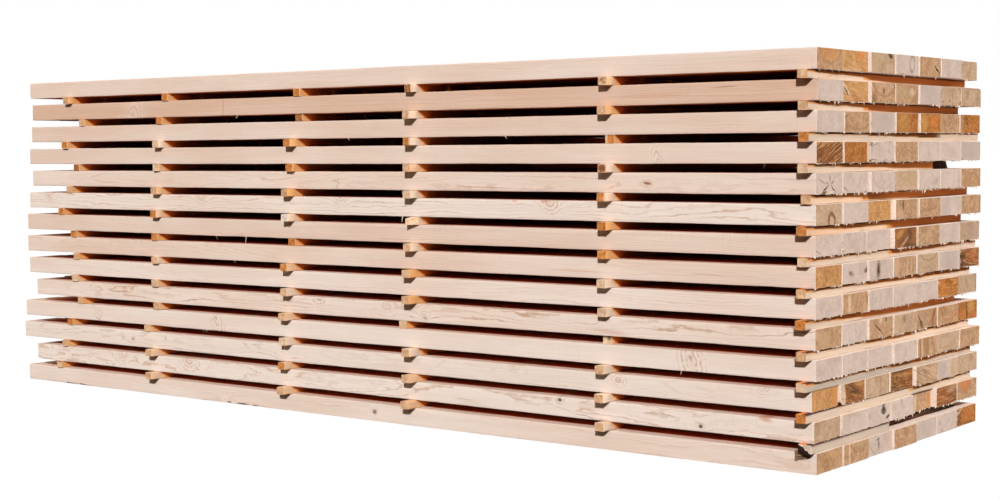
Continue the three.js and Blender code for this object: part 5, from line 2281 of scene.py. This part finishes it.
@dataclass
class Course:
    """The battens between two layers, which share one piece."""

    course: int
    sizes: StackSizes

    LOOSE = {"tail": 0, "middle": 2, "end": LAST, "end_near": LAST, "end_far": LAST}
    FUSED = (1, 3, 4)

    @property
    def level(self) -> float:
        """The height of the middle of the battens."""
        return self.course * self.sizes.pitch - self.sizes.batten_thickness / 2

    def nodes(self) -> dict[str, str]:
        """Finds the CAD nodes of the course's own battens.

        Returns:
            Their names, by the part that says which batten it is.
        """
        start = f"sticker_{two_digits(self.course)}_"
        own = sorted(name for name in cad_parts.keys() if name.startswith(start))
        return {name[len(start) :]: name for name in own}

    def ends_of(self, points: Array) -> list[Array]:
        """Finds a batten's two ends.

        Args:
            points: its CAD points.

        Returns:
            The middles of the near end and of the far end.
        """
        found = []
        for end in (points[:, 1].min(), points[:, 1].max()):
            own = points[np.abs(points[:, 1] - end) < 32 * MM, 0]
            found.append(np.array([(own.min() + own.max()) / 2, end, self.level]))
        return found

    def battens(self) -> list[Batten]:
        """Finds the battens, each where the CAD has it.

        Returns:
            The battens that share the layer below, and then the others.
        """
        layer = node_points(f"board_layer_{two_digits(self.course)}")
        fused = layer[layer[:, 2] > self.level]
        order = fused[np.argsort(fused[:, 0])]
        breaks = np.flatnonzero(np.diff(order[:, 0]) > 150 * MM) + 1
        found = list(zip(self.FUSED, ("",) * 3, np.split(order, breaks)))
        found += [(self.LOOSE[part], part, node_points(node)) for part, node in self.nodes().items()]
        roof = np.array([board.end for board in BoardLayer(self.course + 1, self.sizes).boards()])
        return [self.batten(column, part, points, roof) for column, part, points in found]

    def batten(self, column: int, part: str, points: Array, roof: Array) -> Batten:
        """Chooses what one batten is.

        Args:
            column: where it stands, from 0 at the tail.
            part: the last part of its node's name, or nothing for one that its layer holds.
            points: its CAD points.
            roof: how far each board above it reaches.

        Returns:
            The batten.
        """
        plan = CoursePlan(*COURSE_PLANS[-self.course])
        tone, side = EndTone(plan.ends[column]), SideTone(plan.sides[column])
        kind = MitredBatten if (self.course, column) == MITRED else Batten
        if part == "end_far":
            # the inner length lies in shade, which is painted on its sides as a dark tone
            kind, column, side = DeepBatten, INNER, SideTone.DARK
        if part == "end_near" and self.course == 1:
            kind, tone, side = OffCut, EndTone.PALE, SideTone.GREY
        return kind(self.course, column, *self.ends_of(points), self.sizes, tone, side, roof)

    def build(self, finishes: Finishes) -> bpy.types.Object:
        """Builds the course's piece.

        Args:
            finishes: every material.

        Returns:
            The piece.
        """
        mesh = WoodMesh()
        for batten in self.battens():
            batten.build(mesh)
        piece = mesh.build(f"stickers_course_{two_digits(self.course)}", finishes.battens)
        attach(piece, "root")
        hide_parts(*self.nodes().values(), f"board_layer_{two_digits(self.course)}")
        return piece


# ---------------------------------------------------------------- the studio


@dataclass
class Studio:
    """The floor, the lamps, the background and the camera."""

    key_travel: tuple[float, float, float] = (-0.64, 1.0, -0.57)
    key_strength: float = 3.5
    end_travel: tuple[float, float, float] = (-1.0, -0.03, -0.89)
    end_strength: float = 1.1
    lamp_angle: float = 3.0
    lamp_bounces: int = 2
    sky: float = 0.5
    sky_colour: Colour = (1.0, 0.66, 0.40, 1.0)
    back_sky: float = 0.9
    back_side: tuple[float, float, float] = (-0.6, 0.8, 0.0)
    floor_colour: Colour = (0.05, 0.045, 0.04, 1.0)
    floor_glow: Colour = (0.965, 0.97, 0.975, 1.0)
    reach: float = 150.0  # of the floor each way

    lens_mm: float = 61.016
    place: tuple[float, float, float] = (3.0219, -3.7185, 0.7042)
    turn: float = 37.658
    down: float = 3.383
    roll: float = -0.396

    def camera(self) -> None:
        """Sets up the camera: turned from +Y towards -X, tipped down, and rolled a little."""
        data = bpy.data.cameras.new("camera")
        data.lens = self.lens_mm
        data.clip_end = 400.0
        turn, down, roll = (math.radians(v) for v in (self.turn, self.down, self.roll))
        ahead = Vector((-math.sin(turn) * math.cos(down), math.cos(turn) * math.cos(down), -math.sin(down)))
        level = Vector((math.cos(turn), math.sin(turn), 0.0))
        above = level.cross(ahead)
        right = level * math.cos(roll) + above * math.sin(roll)
        up = above * math.cos(roll) - level * math.sin(roll)
        camera = bpy.data.objects.new("camera", data)
        axes = Matrix((right, up, -ahead)).transposed().to_4x4()
        camera.matrix_world = Matrix.Translation(self.place) @ axes
        bpy.context.scene.collection.objects.link(camera)
        bpy.context.scene.camera = camera

    def lamp(self, name: str, travel: tuple[float, float, float], strength: float) -> None:
        """Adds a distant lamp.

        Args:
            name: its name.
            travel: the direction that its light travels in.
            strength: its strength.
        """
        data = bpy.data.lights.new(name, "SUN")
        data.energy = strength
        data.angle = math.radians(self.lamp_angle)
        data.cycles.max_bounces = self.lamp_bounces
        lamp = bpy.data.objects.new(name, data)
        lamp.rotation_mode = "QUATERNION"
        lamp.rotation_quaternion = Vector(travel).to_track_quat("-Z", "Y")
        bpy.context.scene.collection.objects.link(lamp)

    def background(self) -> None:
        """Makes the world: white where it is seen, and a plain soft light otherwise."""
        world = bpy.data.worlds.new("studio")
        g = emptied(world)
        path = g.node("ShaderNodeLightPath")
        seen = g.most(path[f"Is {kind} Ray"] for kind in ("Camera", "Glossy", "Transmission"))
        direction = g.node("ShaderNodeTexCoord")["Generated"]
        towards = g.node("ShaderNodeVectorMath", {0: direction, 1: self.back_side}, operation="DOT_PRODUCT")
        above = g.step(g.split(direction)[2], 0.1, 0.9, 0.0, self.sky)
        behind = g.step(towards["Value"], 0.2, 0.9, 0.0, self.back_sky)
        strength = g.most((above, behind))
        light = g.node("ShaderNodeBackground", {"Color": self.sky_colour, "Strength": strength})
        white = g.node("ShaderNodeBackground", {"Color": (1.0, 1.0, 1.0, 1.0), "Strength": 1.0})
        either = g.node("ShaderNodeMixShader", {0: seen, 1: light[0], 2: white[0]})
        g.node("ShaderNodeOutputWorld", {"Surface": either[0]})
        bpy.context.scene.world = world

    def floor(self) -> None:
        """Lays a pale floor that looks nearly white and keeps the stack's shadow."""
        mesh = bpy.data.meshes.new("floor")
        corners = [(self.reach * x, self.reach * y, 0) for x, y in ((-1, -1), (1, -1), (1, 1), (-1, 1))]
        mesh.from_pydata(corners, [], [(0, 1, 2, 3)])
        material = bpy.data.materials.new("pale_floor")
        g = emptied(material)
        seen = g.node("ShaderNodeLightPath")["Is Camera Ray"]
        matt = g.node("ShaderNodeBsdfDiffuse", {"Color": self.floor_colour})
        glow = g.node("ShaderNodeEmission", {"Color": self.floor_glow, "Strength": seen})
        both = g.node("ShaderNodeAddShader", {0: matt[0], 1: glow[0]})
        g.node("ShaderNodeOutputMaterial", {"Surface": both[0]})
        mesh.materials.append(material)
        floor = bpy.data.objects.new("floor", mesh)
        bpy.context.scene.collection.objects.link(floor)

    def build(self) -> None:
        """Sets up everything round the stack."""
        bpy.context.scene.view_settings.view_transform = "Standard"
        self.camera()
        self.lamp("key_lamp", self.key_travel, self.key_strength)
        self.lamp("end_lamp", self.end_travel, self.end_strength)
        self.background()
        self.floor()


def report(piece: bpy.types.Object) -> int:
    """Logs a piece's name and size, and returns how many triangles it has."""
    LOG.info("%s: %d triangles", piece.name, len(piece.data.polygons))
    return len(piece.data.polygons)


def main() -> None:
    """Builds the studio and the stack, from the floor up."""
    logging.basicConfig(level=logging.INFO, format="%(message)s")
    Studio().build()
    sizes = StackSizes.measure()
    finishes = Finishes(WoodGroups())
    total = 0
    for layer in range(1, LAYERS + 1):
        total += report(BoardLayer(layer, sizes).build(finishes))
        if layer < LAYERS:
            total += report(Course(layer, sizes).build(finishes))
    LOG.info("the stack: %d triangles", total)


if __name__ == "__main__":
    main()
